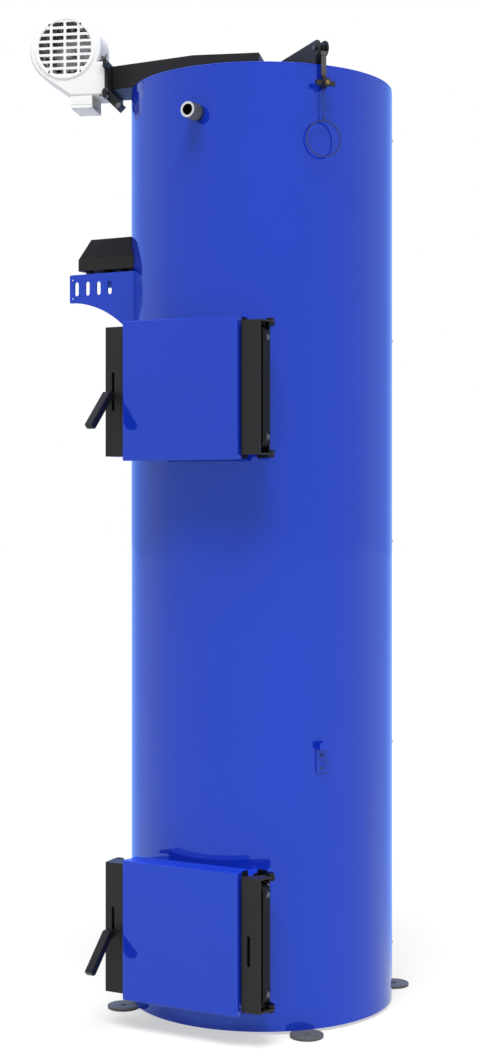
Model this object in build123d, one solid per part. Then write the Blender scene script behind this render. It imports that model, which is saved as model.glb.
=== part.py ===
from build123d import *
import math
import os

# Tall round solid fuel boiler with two doors in front and a draught fan on top. Sizes are in millimetres.
# The origin is on the floor under the middle of the body, the doors face -Y and +Z points up.

# Round body
body_radius = 280
body_height = 1941
casing_wall = 3
lid_thickness = 3
lid_edge = 2
base_thickness = 8
skin_gap = 0.5
fit_gap = 0.2
firebox_radius = 205
firebox_floor = 40
firebox_roof_drop = 187

# Feet
foot_thickness = 6
foot_radius = 34
foot_overhang = 24
foot_tongue_width = 40
foot_tongue_length = 114
foot_hole_radius = 5.5
foot_count = 4

# Door necks and doors
door_levels = {"lower": 201, "upper": 1289.5}
neck_half_width = 139
neck_half_height = 128
neck_reach = 20
mouth_half_width = 112
mouth_half_height = 112
seal_gap = 0.3
seal_thickness = 2.7
seal_width = 10
seal_inset = 5
leaf_thickness = 28
panel_half_width = 130
panel_half_height = 137.5
leaf_half_width = 178
leaf_half_height = 120
leaf_corner = 16
notch_half_width = 8
notch_top = 8
notch_bottom = 30
notch_pin_seat = 1
liner_half_width = 98
liner_half_height = 98
liner_thickness = 14
liner_corner = 6
cover_left = 133.5
cover_right = 131.5
cover_height = 282
cover_stand_off = 19
cover_wall = 3
cover_bend = 2.5
channel_stand_off = 9
latch_channel_inner = 134
latch_channel_outer = 180
hinge_channel_inner = 134.5
hinge_channel_outer = 176
channel_inset = 9.5
channel_wall = 3
channel_corner = 4
slot_width = 7
latch_slot_centre = 162
hinge_slot_centre = 150.5
slot_lengths = {"lower": 61, "upper": 79}
slot_rises = {"lower": 12, "upper": 0}
slots_in_hinge_channel = {"lower": True, "upper": False}

# Hinges on the right of each door
hinge_x = 175
hinge_back = 4
hinge_plate_back = 14.5
hinge_plate_thickness = 5
hinge_plate_edge = 165
hinge_plate_half_height = 137
hinge_plate_corner = 12
hinge_pin_radius = 5
hinge_pin_clearance = 0.08
hinge_nose_radius = 9.5
hinge_lug_thickness = 5
hinge_head_radius = 8
hinge_head_height = 5
hinge_head_gap = 0.3

# Handle and latch on the left of each door
lever_drop = 10
lever_thickness = 6
lever_half_height = 4.5
lever_pivot_back = 24
lever_pin_radius = 4
lever_pin_clearance = 0.05
lever_boss_radius = 9
lever_nose_reach = 33
lever_nose_height = 6
grip_size = 17.5
grip_start = 8
grip_straight = 22
grip_reach = 87
grip_fall = 66
grip_bend = 9
grip_edge = 2.5
keeper_radius = 5
keeper_reach = 29
keeper_behind_front = 10
keeper_gap = 2
keeper_foot = 4

# Pipe connections
nipple_radius = 16.85
nipple_bore_radius = 11
nipple_reach = 39
nipple_thread = 28
nipple_relief = 3
nipple_relief_depth = 1
nipple_chamfer = 1
supply_drop = 96
return_level = 170
socket_radius = 10
socket_bore_radius = 6
socket_reach = 25
socket_drop = 61
socket_heading = 180
blind_end = 2
flue_radius = 80
flue_wall = 3
flue_reach = 110
flue_drop = 292
flue_bead_radius = 2.5
flue_bead_reach = 22

# Bracket and control box on the left of the body
bracket_setback = 89
bracket_sheet = 3
bracket_rise = 265.5
bracket_reach = 88
bracket_end_height = 61
bracket_corner = 4
bracket_shelf_depth = 118
bracket_shelf_lip = 16
bracket_arc_start = 15
bracket_arc_middle = (78, 16)
bracket_arc_end = (136, 53)
bracket_root_drop = 131
bracket_slots = 4
bracket_slot_pitch = 28
bracket_slot_start = 18
bracket_slot_width = 10
bracket_slot_length = 30
bracket_slot_drop = 31
bracket_hole_radius = 2
bracket_hole_inset = 7
bracket_hole_drops = (11, 51)
box_inset = 22
box_band = 25
box_slope = 50
box_depth = 118
box_lift = 7
box_height = 75
box_foot_radius = 8
box_foot_inset = 18
box_foot_gap = 2

# Air duct and fan on top
duct_heading = 199.3
duct_lift = 17
duct_height = 51
duct_base_margin = 30
duct_near = 81
duct_far = 92
duct_tail = 7
duct_straight = 136
duct_mouth_near = 12
flange_overhang = 55
flange_thickness = 7
flange_near = 52
flange_far = 98
flange_bottom = 3
flange_top = 71
fan_reach = 88
fan_rise = 102
scroll_radius = 79.5
scroll_wall = 4
scroll_depth = 84
scroll_edge = 5
inlet_lip_radius = 65
inlet_lip_height = 1.5
scroll_corner_slope = 0.4
scroll_cheek_angle = 30
outlet_bottom = -3
outlet_top = 70
scroll_corner_run = 76
inlet_radius = 62
grille_recess = 2
grille_thickness = 3
grille_rows = 8
grille_row_pitch = 14.7
grille_columns = 4
grille_column_pitch = 30.5
grille_bar = 5.4
grille_rim = 2.5
grille_slot_corner = 2
impeller_radius = 57
impeller_inner_radius = 42
impeller_depth = 52
impeller_blades = 24
impeller_blade_thickness = 1.6
impeller_blade_angle = 28
impeller_hub_radius = 13
impeller_back_gap = 6
impeller_sheet = 2
impeller_ring_width = 4
impeller_hub_setback = 12
shaft_radius = 4
shaft_clearance = 0.05
shaft_short = 6
motor_radius = 44
motor_length = 58
motor_neck_radius = 22
motor_neck_length = 8
motor_edge = 8
motor_seat_inset = 6
motor_seat_thickness = 3
motor_ribs = 16
motor_rib_height = 3
motor_rib_thickness = 2.4
fan_foot_depth = 82
fan_foot_drop = 43
fan_foot_step = 24
fan_foot_near = 12
fan_foot_neck = 31
fan_foot_far = 75
fan_foot_chamfer = 19
clamp_width = 26
clamp_low = -2
clamp_length = 46
clamp_thickness = 6
clamp_bolt_radius = 4
clamp_knob_radius = 9
clamp_ear = 18
clamp_bolt_offset = 10.5
clamp_gap = 0.2
clamp_head_inset = 2
clamp_head_length = 6
clamp_knob_length = 12

# Pulley arm, pull cable and ring
arm_heading = -36.8
arm_plate = 4
arm_gap = 14
arm_length = 165
arm_rise = 32
arm_pin_setback = 3
arm_nose_radius = 16.5
arm_back_height = 41
arm_pin_radius = 3
arm_pin_overhang = 3
arm_pin_head = 2
arm_rim_inset = 6
arm_nose_step = 2
arm_foot_inset = 30
wheel_radius = 10
wheel_groove = 2.5
wheel_width = 8
wheel_clearance = 0.08
strap_step = 13
strap_thickness = 2
strap_width = 11
strap_bottom = -25
strap_top = 24
knob_level = -42
knob_radius = 9
knob_length = 22
knob_wing_reach = 21
knob_back = 6
knob_wing = (4, 10)
knob_wing_half_height = 5
knob_stem_half = (3, 4)
knob_collar_radius = 4
strap_head_inset = 2
cable_radius = 0.9
cable_top = -52
ring_level = -152
ring_radius = 37.5
ring_wire = 1.5
ring_turn = -6.7

# Hook for the ring on the body
hook_width = 25
hook_bottom = 522
hook_top = 571
hook_sheet = 3
hook_reach = 20
hook_lip = 11
hook_seat = 10

body_bottom = foot_thickness
body_top = body_bottom + body_height
firebox_roof = body_top - firebox_roof_drop
foot_circle = body_radius + foot_overhang
neck_front = body_radius + neck_reach
supply_level = body_top - supply_drop
socket_level = body_top - socket_drop
flue_level = body_top - flue_drop
bracket_front = body_radius - bracket_setback
bracket_top = door_levels["upper"] + bracket_rise
bracket_left = body_radius + bracket_reach
box_left = bracket_left - box_inset
flange_face = body_radius + flange_overhang
fan_centre = flange_face + fan_reach
arm_pin = body_radius - arm_pin_setback
arm_root = arm_pin - arm_length
strap_radius = arm_pin + strap_step
casing_inner_radius = body_radius - casing_wall
jacket_radius = casing_inner_radius - skin_gap


def block(x0, x1, y0, y1, z0, z1):
    """Box between two corners."""
    return Pos((x0 + x1) / 2, (y0 + y1) / 2, (z0 + z1) / 2) * Box(x1 - x0, y1 - y0, z1 - z0)


def upright(radius, z0, z1):
    """Upright cylinder on the axis of the body."""
    return Pos(0, 0, (z0 + z1) / 2) * Cylinder(radius, z1 - z0)


def rod_x(radius, x0, x1, y, z):
    """Cylinder along X."""
    return Pos((x0 + x1) / 2, y, z) * Rot(0, 90, 0) * Cylinder(radius, x1 - x0)


def rod_y(radius, y0, y1, x, z):
    """Cylinder along Y."""
    return Pos(x, (y0 + y1) / 2, z) * Rot(90, 0, 0) * Cylinder(radius, y1 - y0)


def front_profile(points_or_face, y0, y1):
    """Solid between two depths, from an outline drawn in X and Z."""
    face = points_or_face
    if isinstance(points_or_face, list):
        face = make_face(Polyline(*points_or_face, close=True))
    return extrude(Plane((0, y1, 0), x_dir=(1, 0, 0), z_dir=(0, -1, 0)) * face, y1 - y0)


def side_profile(face, x0, x1):
    """Solid between two widths, from an outline drawn in Y and Z."""
    return extrude(Plane((x0, 0, 0), x_dir=(0, 1, 0), z_dir=(1, 0, 0)) * face, x1 - x0)


def neck_block(level, margin):
    """Space that the neck of one door takes in the wall of the body."""
    half_width = neck_half_width + margin
    half_height = neck_half_height + margin
    return block(-half_width, half_width, -neck_front, -firebox_radius / 3,
                 level - half_height, level + half_height)


def make_base_plate():
    return upright(jacket_radius, body_bottom, body_bottom + base_thickness)


def make_wall_holes():
    """Everything that passes through the wall of the body."""
    flue_hole = rod_y(flue_radius + fit_gap, 0, body_radius + 1, 0, flue_level)
    holes = flue_hole
    for level in door_levels.values():
        holes += neck_block(level, fit_gap)
    return holes


def make_jacket():
    """Water jacket around the firebox, as one wall from the firebox out to the casing."""
    wall = upright(jacket_radius, body_bottom + base_thickness, body_top - lid_thickness)
    wall -= upright(firebox_radius, firebox_floor, firebox_roof)
    return wall - make_wall_holes()


def make_casing():
    """Painted sheet around the jacket."""
    casing = upright(body_radius, body_bottom, body_top - lid_thickness)
    casing -= upright(casing_inner_radius, body_bottom, body_top - lid_thickness)
    casing -= make_wall_holes()
    casing -= rod_y(nipple_radius + fit_gap, -body_radius - 1, 0, 0, supply_level)
    casing -= rod_y(nipple_radius + fit_gap, 0, body_radius + 1, 0, return_level)
    socket_hole = rod_x(socket_radius + fit_gap, 0, body_radius + 1, 0, socket_level)
    return casing - Rot(0, 0, socket_heading) * socket_hole


def make_lid():
    lid = upright(body_radius, body_top - lid_thickness, body_top)
    return fillet(lid.edges().group_by(Axis.Z)[-1], lid_edge)


def make_feet():
    """Anchor plates under the rim, each a disc with a tongue below the body."""
    feet = []
    for index in range(foot_count):
        tongue = block(foot_circle - foot_tongue_length, foot_circle, -foot_tongue_width / 2,
                       foot_tongue_width / 2, 0, foot_thickness)
        disc = Pos(foot_circle, 0, foot_thickness / 2) * Cylinder(foot_radius, foot_thickness)
        hole = Pos(foot_circle, 0, foot_thickness / 2) * Cylinder(foot_hole_radius, 2 * foot_thickness)
        heading = 45 + index * 360 / foot_count
        feet.append(Rot(0, 0, heading) * (tongue + disc - hole))
    return Compound(children=feet)


def make_nipple(heading, level):
    """Pipe end welded to the jacket, with a blind bore and a relief behind its thread."""
    tip = body_radius + nipple_reach
    tube = rod_x(nipple_radius, jacket_radius - nipple_radius, tip, 0, level)
    tube = chamfer(tube.edges().group_by(Axis.X)[-1], nipple_chamfer)
    relief_end = tip - nipple_thread
    relief_start = relief_end - nipple_relief
    relief = rod_x(nipple_radius + 1, relief_start, relief_end, 0, level)
    relief -= rod_x(nipple_radius - nipple_relief_depth, relief_start, relief_end, 0, level)
    tube -= relief
    tube -= upright(jacket_radius + fit_gap, level - body_radius, level + body_radius)
    tube -= rod_x(nipple_bore_radius, jacket_radius + fit_gap + blind_end, tip, 0, level)
    return Rot(0, 0, heading) * tube


def make_socket():
    """Sensor socket on the left side."""
    tube = rod_x(socket_radius, jacket_radius - socket_radius, body_radius + socket_reach, 0, socket_level)
    tube -= upright(jacket_radius + fit_gap, socket_level - body_radius, socket_level + body_radius)
    tube -= rod_x(socket_bore_radius, jacket_radius + fit_gap + blind_end, body_radius + socket_reach, 0,
                  socket_level)
    return Rot(0, 0, socket_heading) * tube


def make_flue():
    """Flue spigot at the back, open into the firebox."""
    tube = rod_y(flue_radius, 0, body_radius + flue_reach, 0, flue_level)
    bead = Pos(0, body_radius + flue_bead_reach, flue_level) * Rot(90, 0, 0)
    tube += bead * Torus(flue_radius, flue_bead_radius)
    tube -= rod_y(flue_radius - flue_wall, 0, body_radius + flue_reach, 0, flue_level)
    return tube - upright(firebox_radius, flue_level - body_radius, flue_level + body_radius)


def make_neck(level):
    """Square neck from the firebox out to the door."""
    neck = neck_block(level, 0)
    neck -= block(-mouth_half_width, mouth_half_width, -neck_front, 0,
                  level - mouth_half_height, level + mouth_half_height)
    return neck - upright(firebox_radius, level - body_radius, level + body_radius)


leaf_back = neck_front + seal_gap + seal_thickness
leaf_front = leaf_back + leaf_thickness
cover_front = leaf_front + cover_stand_off
channel_front = leaf_front + channel_stand_off
hinge_y = -neck_front + hinge_back
cover_fold = cover_front - leaf_back
notch_centre = latch_slot_centre
flange_outer = cover_height / 2 - channel_inset
flange_inner = flange_outer - channel_wall


def make_leaf(level):
    """Steel door leaf, wider where it carries the channels, with the notch and the pin of the handle."""
    plate = Pos(0, level) * RectangleRounded(2 * leaf_half_width, 2 * leaf_half_height, leaf_corner)
    panel = Pos(0, level) * Rectangle(2 * panel_half_width, 2 * panel_half_height)
    notch = Pos(-notch_centre, level + (notch_top - notch_bottom) / 2)
    notch = notch * Rectangle(2 * notch_half_width, notch_top + notch_bottom)
    leaf = front_profile(plate + panel - notch, -leaf_front, -leaf_back)
    pivot_y = -channel_front + lever_pivot_back
    pivot_z = level - lever_drop
    pin_left = -notch_centre - notch_half_width - notch_pin_seat
    pin_right = -notch_centre + notch_half_width + notch_pin_seat
    return leaf + rod_x(lever_pin_radius, pin_left, pin_right, pivot_y, pivot_z)


def make_seal(level):
    """Flat rope seal on the back of the leaf."""
    outer_width = 2 * (mouth_half_width + seal_inset + seal_width)
    outer_height = 2 * (mouth_half_height + seal_inset + seal_width)
    inner_width = 2 * (mouth_half_width + seal_inset)
    inner_height = 2 * (mouth_half_height + seal_inset)
    ring = Rectangle(outer_width, outer_height) - Rectangle(inner_width, inner_height)
    return front_profile(Pos(0, level) * ring, -leaf_back, -leaf_back + seal_thickness)


def make_liner(level):
    """Insulating board on the back of the leaf, which goes into the mouth of the neck."""
    board = Pos(0, level) * RectangleRounded(2 * liner_half_width, 2 * liner_half_height, liner_corner)
    return front_profile(board, -leaf_back, -leaf_back + liner_thickness)


def make_cover(level):
    """Blue folded cover in front of the leaf."""
    half_height = cover_height / 2
    tray = block(-cover_left, cover_right, -cover_front, -cover_front + cover_fold,
                 level - half_height, level + half_height)
    tray = fillet(tray.faces().sort_by(Axis.Y)[0].edges(), cover_bend)
    tray -= block(-cover_left + cover_wall, cover_right - cover_wall, -cover_front + cover_wall, 0,
                  level - half_height + cover_wall, level + half_height - cover_wall)
    side_walls = (
        (-cover_left - 1, -cover_left + cover_wall),
        (cover_right - cover_wall, cover_right + 1),
    )
    for x0, x1 in side_walls:
        tray -= block(x0, x1, -leaf_front, 0, level - half_height, level + half_height)
    return tray


def flange_outline(inner, outer):
    """Top or bottom flange of a channel, seen from above and drawn for the right side of the door."""
    sheet = Pos((inner + outer) / 2, (-channel_front - leaf_front) / 2)
    sheet = sheet * Rectangle(outer - inner, channel_stand_off)
    nose = Pos(hinge_x, hinge_y) * Circle(hinge_nose_radius)
    return make_hull(sheet.edges() + nose.edges())


def make_channel(inner, outer, slot):
    """Black channel beside the cover, drawn for the right side of the door about level 0."""
    face = Pos((inner + outer) / 2, 0) * RectangleRounded(outer - inner, 2 * flange_outer, channel_corner)
    channel = front_profile(face - slot, -channel_front, -channel_front + channel_wall)
    web_end = leaf_half_height - leaf_corner
    channel += block(inner, inner + channel_wall, -channel_front, -leaf_front, -web_end, web_end)
    for end in (-1, 1):
        z0, z1 = sorted((end * flange_inner, end * flange_outer))
        channel += extrude(Plane.XY.offset(z0) * flange_outline(inner, outer), z1 - z0)
    bore_radius = hinge_pin_radius + hinge_pin_clearance
    return channel - Pos(hinge_x, hinge_y, 0) * Cylinder(bore_radius, 3 * flange_outer)


def channel_slot(name, centre):
    """Upright slot in the face of a channel."""
    return Pos(centre, -slot_rises[name]) * Rot(0, 0, 90) * SlotOverall(slot_lengths[name], slot_width)


def make_latch_channel(name, level):
    """Channel on the left, turned over, with the slot of the handle."""
    channel = make_channel(latch_channel_inner, latch_channel_outer, channel_slot(name, latch_slot_centre))
    return Pos(0, 0, level) * Rot(0, 180, 0) * channel


def make_hinge_channel(name, level):
    """Channel on the right, which turns on the hinge pins."""
    slot = Sketch()
    if slots_in_hinge_channel[name]:
        slot = channel_slot(name, hinge_slot_centre)
    return Pos(0, 0, level) * make_channel(hinge_channel_inner, hinge_channel_outer, slot)


def make_hinge(level):
    """Plate on the right of the neck, with two lugs and the pins that the door turns on."""
    plate_front = hinge_y + hinge_plate_back
    plate_width = hinge_plate_edge - neck_half_width
    plate_middle = neck_half_width + plate_width / 2
    face = Pos(plate_middle, level) * Rectangle(plate_width, 2 * hinge_plate_half_height)
    face = fillet(face.vertices().group_by(Axis.X)[-1], hinge_plate_corner)
    hinge = front_profile(face, plate_front, plate_front + hinge_plate_thickness)
    lug_middle = (leaf_half_height + flange_inner) / 2
    for end in (-1, 1):
        root = Pos(plate_middle, plate_front + hinge_plate_thickness / 2)
        root = root * Rectangle(plate_width, hinge_plate_thickness)
        nose = Pos(hinge_x, hinge_y) * Circle(hinge_nose_radius)
        outline = make_hull(root.edges() + nose.edges())
        middle = level + end * lug_middle
        lug = extrude(Plane.XY.offset(middle - hinge_lug_thickness / 2) * outline, hinge_lug_thickness)
        tip = level + end * (flange_outer + hinge_head_gap)
        z0, z1 = sorted((middle, tip))
        pin = Pos(hinge_x, hinge_y, (z0 + z1) / 2) * Cylinder(hinge_pin_radius, z1 - z0)
        head_centre = tip + end * hinge_head_height / 2
        head = Pos(hinge_x, hinge_y, head_centre) * Cylinder(hinge_head_radius, hinge_head_height)
        hinge += lug + pin + head
    return hinge


def make_keeper(level):
    """Keeper pin of the latch, on the left of the neck."""
    z = level - lever_drop + lever_nose_height + keeper_gap + keeper_radius
    y = -neck_front + keeper_behind_front
    pin = rod_x(keeper_radius, -neck_half_width - keeper_reach, -neck_half_width, y, z)
    foot = rod_x(2 * keeper_radius, -neck_half_width - keeper_foot, -neck_half_width, y, z)
    return pin + foot


def make_handle(level):
    """Handle lever: a square grip outside, a flat plate through the slot and the nose of the latch."""
    pivot_y = -channel_front + lever_pivot_back
    z = level - lever_drop
    out = -channel_front
    half = grip_size / 2
    start = out - grip_start
    bend = out - grip_straight
    reach = out - grip_reach
    run = grip_reach - grip_straight
    tilt = math.atan2(grip_fall, run)
    shift = half * math.tan(tilt / 2)
    across = Vector(math.sin(tilt), math.cos(tilt)) * half
    upper = Vector(reach, z - grip_fall) + Vector(-across.X, across.Y)
    lower = Vector(reach, z - grip_fall) + Vector(across.X, -across.Y)
    outline = Polyline(
        (start, z + half),
        (bend - shift, z + half),
        (upper.X, upper.Y),
        (lower.X, lower.Y),
        (bend + shift, z - half),
        (start, z - half),
        close=True,
    )
    face = make_face(outline)
    bend_corner = face.vertices().group_by(Axis.Z)[-1].sort_by(Axis.Y)[0]
    face = fillet(bend_corner, grip_bend)
    x0 = -latch_slot_centre - half
    grip = side_profile(face, x0, x0 + grip_size)
    grip = fillet(grip.faces().filter_by(Axis.X).edges(), grip_edge)
    nose_tip = pivot_y + lever_nose_reach
    bar = Pos((start - half + pivot_y) / 2, z) * Rectangle(pivot_y - start + half, 2 * lever_half_height)
    nose = Polyline(
        (pivot_y, z - lever_boss_radius),
        (nose_tip, z - lever_nose_height / 2),
        (nose_tip, z + lever_nose_height),
        (pivot_y, z + lever_nose_height),
        close=True,
    )
    lever = bar + make_face(nose) + Pos(pivot_y, z) * Circle(lever_boss_radius)
    lever -= Pos(pivot_y, z) * Circle(lever_pin_radius + lever_pin_clearance)
    plate_x = -latch_slot_centre - lever_thickness / 2
    return grip + side_profile(lever, plate_x, plate_x + lever_thickness)


def make_side_bracket():
    """Blue bracket on the left of the body: a front plate with a curved lower edge and a shelf behind it."""
    low = bracket_top - bracket_end_height
    reach = body_radius / 2
    start = (-bracket_left + bracket_arc_start, low)
    middle = (-bracket_left + bracket_arc_middle[0], low - bracket_arc_middle[1])
    end = (-bracket_left + bracket_arc_end[0], low - bracket_arc_end[1])
    root = (-reach, low - bracket_root_drop)
    outline = make_face([
        Line((-reach, bracket_top), (-bracket_left + bracket_corner, bracket_top)),
        RadiusArc((-bracket_left + bracket_corner, bracket_top),
                  (-bracket_left, bracket_top - bracket_corner), -bracket_corner),
        Line((-bracket_left, bracket_top - bracket_corner), (-bracket_left, low + bracket_corner)),
        RadiusArc((-bracket_left, low + bracket_corner),
                  (-bracket_left + bracket_corner, low), -bracket_corner),
        Line((-bracket_left + bracket_corner, low), start),
        ThreePointArc(start, middle, end),
        Line(end, root),
        Line(root, (-reach, bracket_top)),
    ])
    for index in range(bracket_slots):
        x = -bracket_left + bracket_slot_start + index * bracket_slot_pitch
        slot = Pos(x, bracket_top - bracket_slot_drop) * Rot(0, 0, 90)
        outline -= slot * SlotOverall(bracket_slot_length, bracket_slot_width)
    for drop in bracket_hole_drops:
        outline -= Pos(-bracket_left + bracket_hole_inset, bracket_top - drop) * Circle(bracket_hole_radius)
    plate = front_profile(outline, -bracket_front, -bracket_front + bracket_sheet)
    back = -bracket_front + bracket_shelf_depth
    shelf = block(-bracket_left + bracket_corner, -reach, -bracket_front, back,
                  bracket_top - bracket_sheet, bracket_top)
    lip = block(-bracket_left + bracket_corner, -reach, back - bracket_sheet, back,
                bracket_top - bracket_shelf_lip, bracket_top)
    bracket = plate + shelf + lip
    return bracket - upright(body_radius + fit_gap, low - body_radius, bracket_top + 1)


def make_control_box():
    """Black control box with a sloping top front, on short feet."""
    z0 = bracket_top + box_lift
    front = -bracket_front
    section = make_face(Polyline(
        (front, z0),
        (front, z0 + box_band),
        (front + box_slope, z0 + box_height),
        (front + box_depth, z0 + box_height),
        (front + box_depth, z0),
        close=True,
    ))
    case = side_profile(section, -box_left, 0)
    case -= upright(body_radius + fit_gap, z0 - 1, z0 + box_height + 1)
    for x in (-box_left + box_foot_inset, -body_radius - box_foot_radius - box_foot_gap):
        for y in (front + box_foot_inset, front + box_depth - box_foot_inset):
            case += Pos(x, y, bracket_top + box_lift / 2) * Cylinder(box_foot_radius, box_lift)
    return case


def on_duct(shape):
    """Places a shape drawn along the duct: X towards the fan, Y towards the front, Z up from the lid."""
    return Pos(0, 0, body_top) * Rot(0, 0, duct_heading) * shape


duct_end = flange_face - flange_thickness
scroll_front = flange_near
scroll_back = flange_near - scroll_depth
wing_bolt_levels = (clamp_low, flange_top - clamp_ear / 2)


def make_duct():
    """Flat air duct on the lid, tapering towards the fan, with the base that it stands on."""
    plan = make_face(Polyline(
        (-duct_tail, duct_near),
        (duct_straight, duct_near),
        (duct_end, duct_mouth_near),
        (duct_end, -duct_far),
        (-duct_tail, -duct_far),
        close=True,
    ))
    duct = extrude(Plane.XY.offset(duct_lift) * plan, duct_height)
    base_end = body_radius - 2 * duct_base_margin
    base = block(-duct_tail + duct_base_margin, base_end - duct_base_margin, -duct_far + duct_base_margin,
                 duct_near - duct_base_margin, 0, duct_lift)
    return on_duct(duct + base)


def make_flange():
    """Plate that joins the duct to the fan."""
    plate = block(duct_end, flange_face, -flange_far, flange_near, flange_bottom, flange_top)
    for z in wing_bolt_levels:
        plate += block(duct_end, flange_face, flange_near - 1, flange_near + clamp_ear,
                       z - clamp_ear / 2, z + clamp_ear / 2)
        plate -= rod_x(clamp_bolt_radius + clamp_gap, duct_end - 1, flange_face + 1,
                       flange_near + clamp_bolt_offset, z)
    return on_duct(plate)


def scroll_outline(margin):
    """Outline of the fan casing in the duct's X and Z, moved inwards by a margin."""
    radius = scroll_radius - margin
    bottom = outlet_bottom + margin
    top = outlet_top - margin
    corner = flange_face + scroll_corner_run
    corner_x = corner - margin * scroll_corner_slope
    dx = corner_x - fan_centre
    dz = bottom - fan_rise
    distance = math.hypot(dx, dz)
    turn = math.acos(radius / distance)
    heading = math.atan2(dz, dx) + turn
    touch = (fan_centre + radius * math.cos(heading), fan_rise + radius * math.sin(heading))
    outlet = make_face(Polyline(
        (flange_face, bottom),
        (corner_x, bottom),
        touch,
        (fan_centre, fan_rise),
        (fan_centre - radius * math.cos(math.radians(scroll_cheek_angle)), top),
        (flange_face, top),
        close=True,
    ))
    return outlet + Pos(fan_centre, fan_rise) * Circle(radius)


def duct_slab(face, y0, y1):
    """Solid across the duct's Y, from an outline in its X and Z."""
    return extrude(Plane((0, y1, 0), x_dir=(1, 0, 0), z_dir=(0, -1, 0)) * face, y1 - y0)


def make_scroll():
    """White fan casing, open at the inlet and towards the duct."""
    shell = duct_slab(scroll_outline(0), scroll_back, scroll_front)
    rims = shell.faces().filter_by(Axis.Y).edges().filter_by(lambda e: e.center().X > flange_face + 1)
    shell = fillet(rims, scroll_edge)
    shell += rod_y(inlet_lip_radius, scroll_front - scroll_wall, scroll_front + inlet_lip_height,
                   fan_centre, fan_rise)
    inner = duct_slab(scroll_outline(scroll_wall), scroll_back + scroll_wall, scroll_front - scroll_wall)
    shell -= inner
    inlet = rod_y(inlet_radius, scroll_front - scroll_wall - 1, scroll_front + inlet_lip_height + 1,
                  fan_centre, fan_rise)
    shaft_hole = rod_y(motor_neck_radius + fit_gap, scroll_back - 1, scroll_back + scroll_wall + 1,
                       fan_centre, fan_rise)
    return on_duct(shell - inlet - shaft_hole)


def make_grille():
    """Inlet grille with rows of level slots."""
    disc = Circle(inlet_radius - fit_gap)
    slots = Sketch()
    slot_high = grille_row_pitch - grille_bar
    slot_wide = grille_column_pitch - grille_bar
    for row in range(grille_rows):
        for column in range(grille_columns):
            x = (column - (grille_columns - 1) / 2) * grille_column_pitch
            z = (row - (grille_rows - 1) / 2) * grille_row_pitch
            slots += Pos(x, z) * RectangleRounded(slot_wide, slot_high, grille_slot_corner)
    slots &= Circle(inlet_radius - grille_rim)
    face = Pos(fan_centre, fan_rise) * (disc - slots)
    front = scroll_front - grille_recess
    return on_duct(duct_slab(face, front - grille_thickness, front))


def make_impeller():
    """Drum impeller with curved blades between a back disc and a front ring."""
    back = scroll_back + scroll_wall + impeller_back_gap
    front = back + impeller_depth
    middle = (impeller_radius + impeller_inner_radius) / 2
    disc = duct_slab(Circle(impeller_radius), back, back + impeller_sheet)
    ring = Circle(impeller_radius) - Circle(impeller_radius - impeller_ring_width)
    ring = duct_slab(ring, front - impeller_sheet, front)
    hub = duct_slab(Circle(impeller_hub_radius), back, front - impeller_hub_setback)
    wheel = disc + ring + hub
    blade_length = impeller_radius - impeller_inner_radius
    blade_face = Rot(0, 0, impeller_blade_angle) * Rectangle(blade_length, impeller_blade_thickness)
    blade_face = Pos(middle, 0) * blade_face
    for index in range(impeller_blades):
        turned = Rot(0, 0, index * 360 / impeller_blades) * blade_face
        wheel += duct_slab(turned, back, front)
    bore_end = front - impeller_hub_setback - shaft_short
    bore = duct_slab(Circle(shaft_radius + shaft_clearance), back - 1, bore_end)
    return on_duct(Pos(fan_centre, 0, fan_rise) * (wheel - bore))


def make_motor():
    """Motor on the back of the fan, with the shaft that carries the impeller."""
    back = scroll_back
    front_of_hub = back + scroll_wall + impeller_back_gap + impeller_depth - impeller_hub_setback
    can = duct_slab(Circle(motor_radius), back - motor_neck_length - motor_length, back - motor_neck_length)
    can = fillet(can.edges().filter_by(GeomType.CIRCLE).sort_by(Axis.Y)[0], motor_edge)
    rib_start = back - motor_neck_length - motor_length + motor_edge
    rib = Pos(0, (rib_start + back - motor_neck_length) / 2, motor_radius)
    rib = rib * Box(motor_rib_thickness, back - motor_neck_length - rib_start, 2 * motor_rib_height)
    for index in range(motor_ribs):
        can += Rot(0, index * 360 / motor_ribs, 0) * rib
    neck = duct_slab(Circle(motor_neck_radius), back - motor_neck_length, back + scroll_wall)
    shaft = duct_slab(Circle(shaft_radius), back, front_of_hub - 2 * shaft_short)
    flange = duct_slab(Circle(motor_radius - motor_seat_inset), back - motor_seat_thickness, back)
    return on_duct(Pos(fan_centre, 0, fan_rise) * (can + neck + shaft + flange))


def make_fan_foot():
    """White cable box under the fan casing, with a chamfered corner."""
    top = outlet_bottom
    step = top - fan_foot_step
    bottom = top - fan_foot_drop
    outline = make_face(Polyline(
        (flange_face + fan_foot_far, top),
        (flange_face + fan_foot_far, step),
        (flange_face + fan_foot_far - fan_foot_chamfer, bottom),
        (flange_face + fan_foot_near, bottom),
        (flange_face + fan_foot_neck, step),
        (flange_face + fan_foot_neck, top),
        close=True,
    ))
    return on_duct(duct_slab(outline, scroll_front - fan_foot_depth, scroll_front))


def make_wing_bolts():
    """Black knobs that clamp the fan to the flange, on its near edge."""
    knobs = []
    y = flange_near + clamp_bolt_offset
    for z in wing_bolt_levels:
        head_end = duct_end - clamp_head_length
        knob_end = flange_face + clamp_knob_length
        stem = rod_x(clamp_bolt_radius, head_end, knob_end, y, z)
        head = rod_x(clamp_knob_radius - clamp_head_inset, head_end, duct_end - clamp_gap, y, z)
        wing = rod_x(clamp_knob_radius, flange_face + clamp_gap, knob_end, y, z)
        knobs.append(on_duct(stem + head + wing))
    return Compound(children=knobs)


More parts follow.
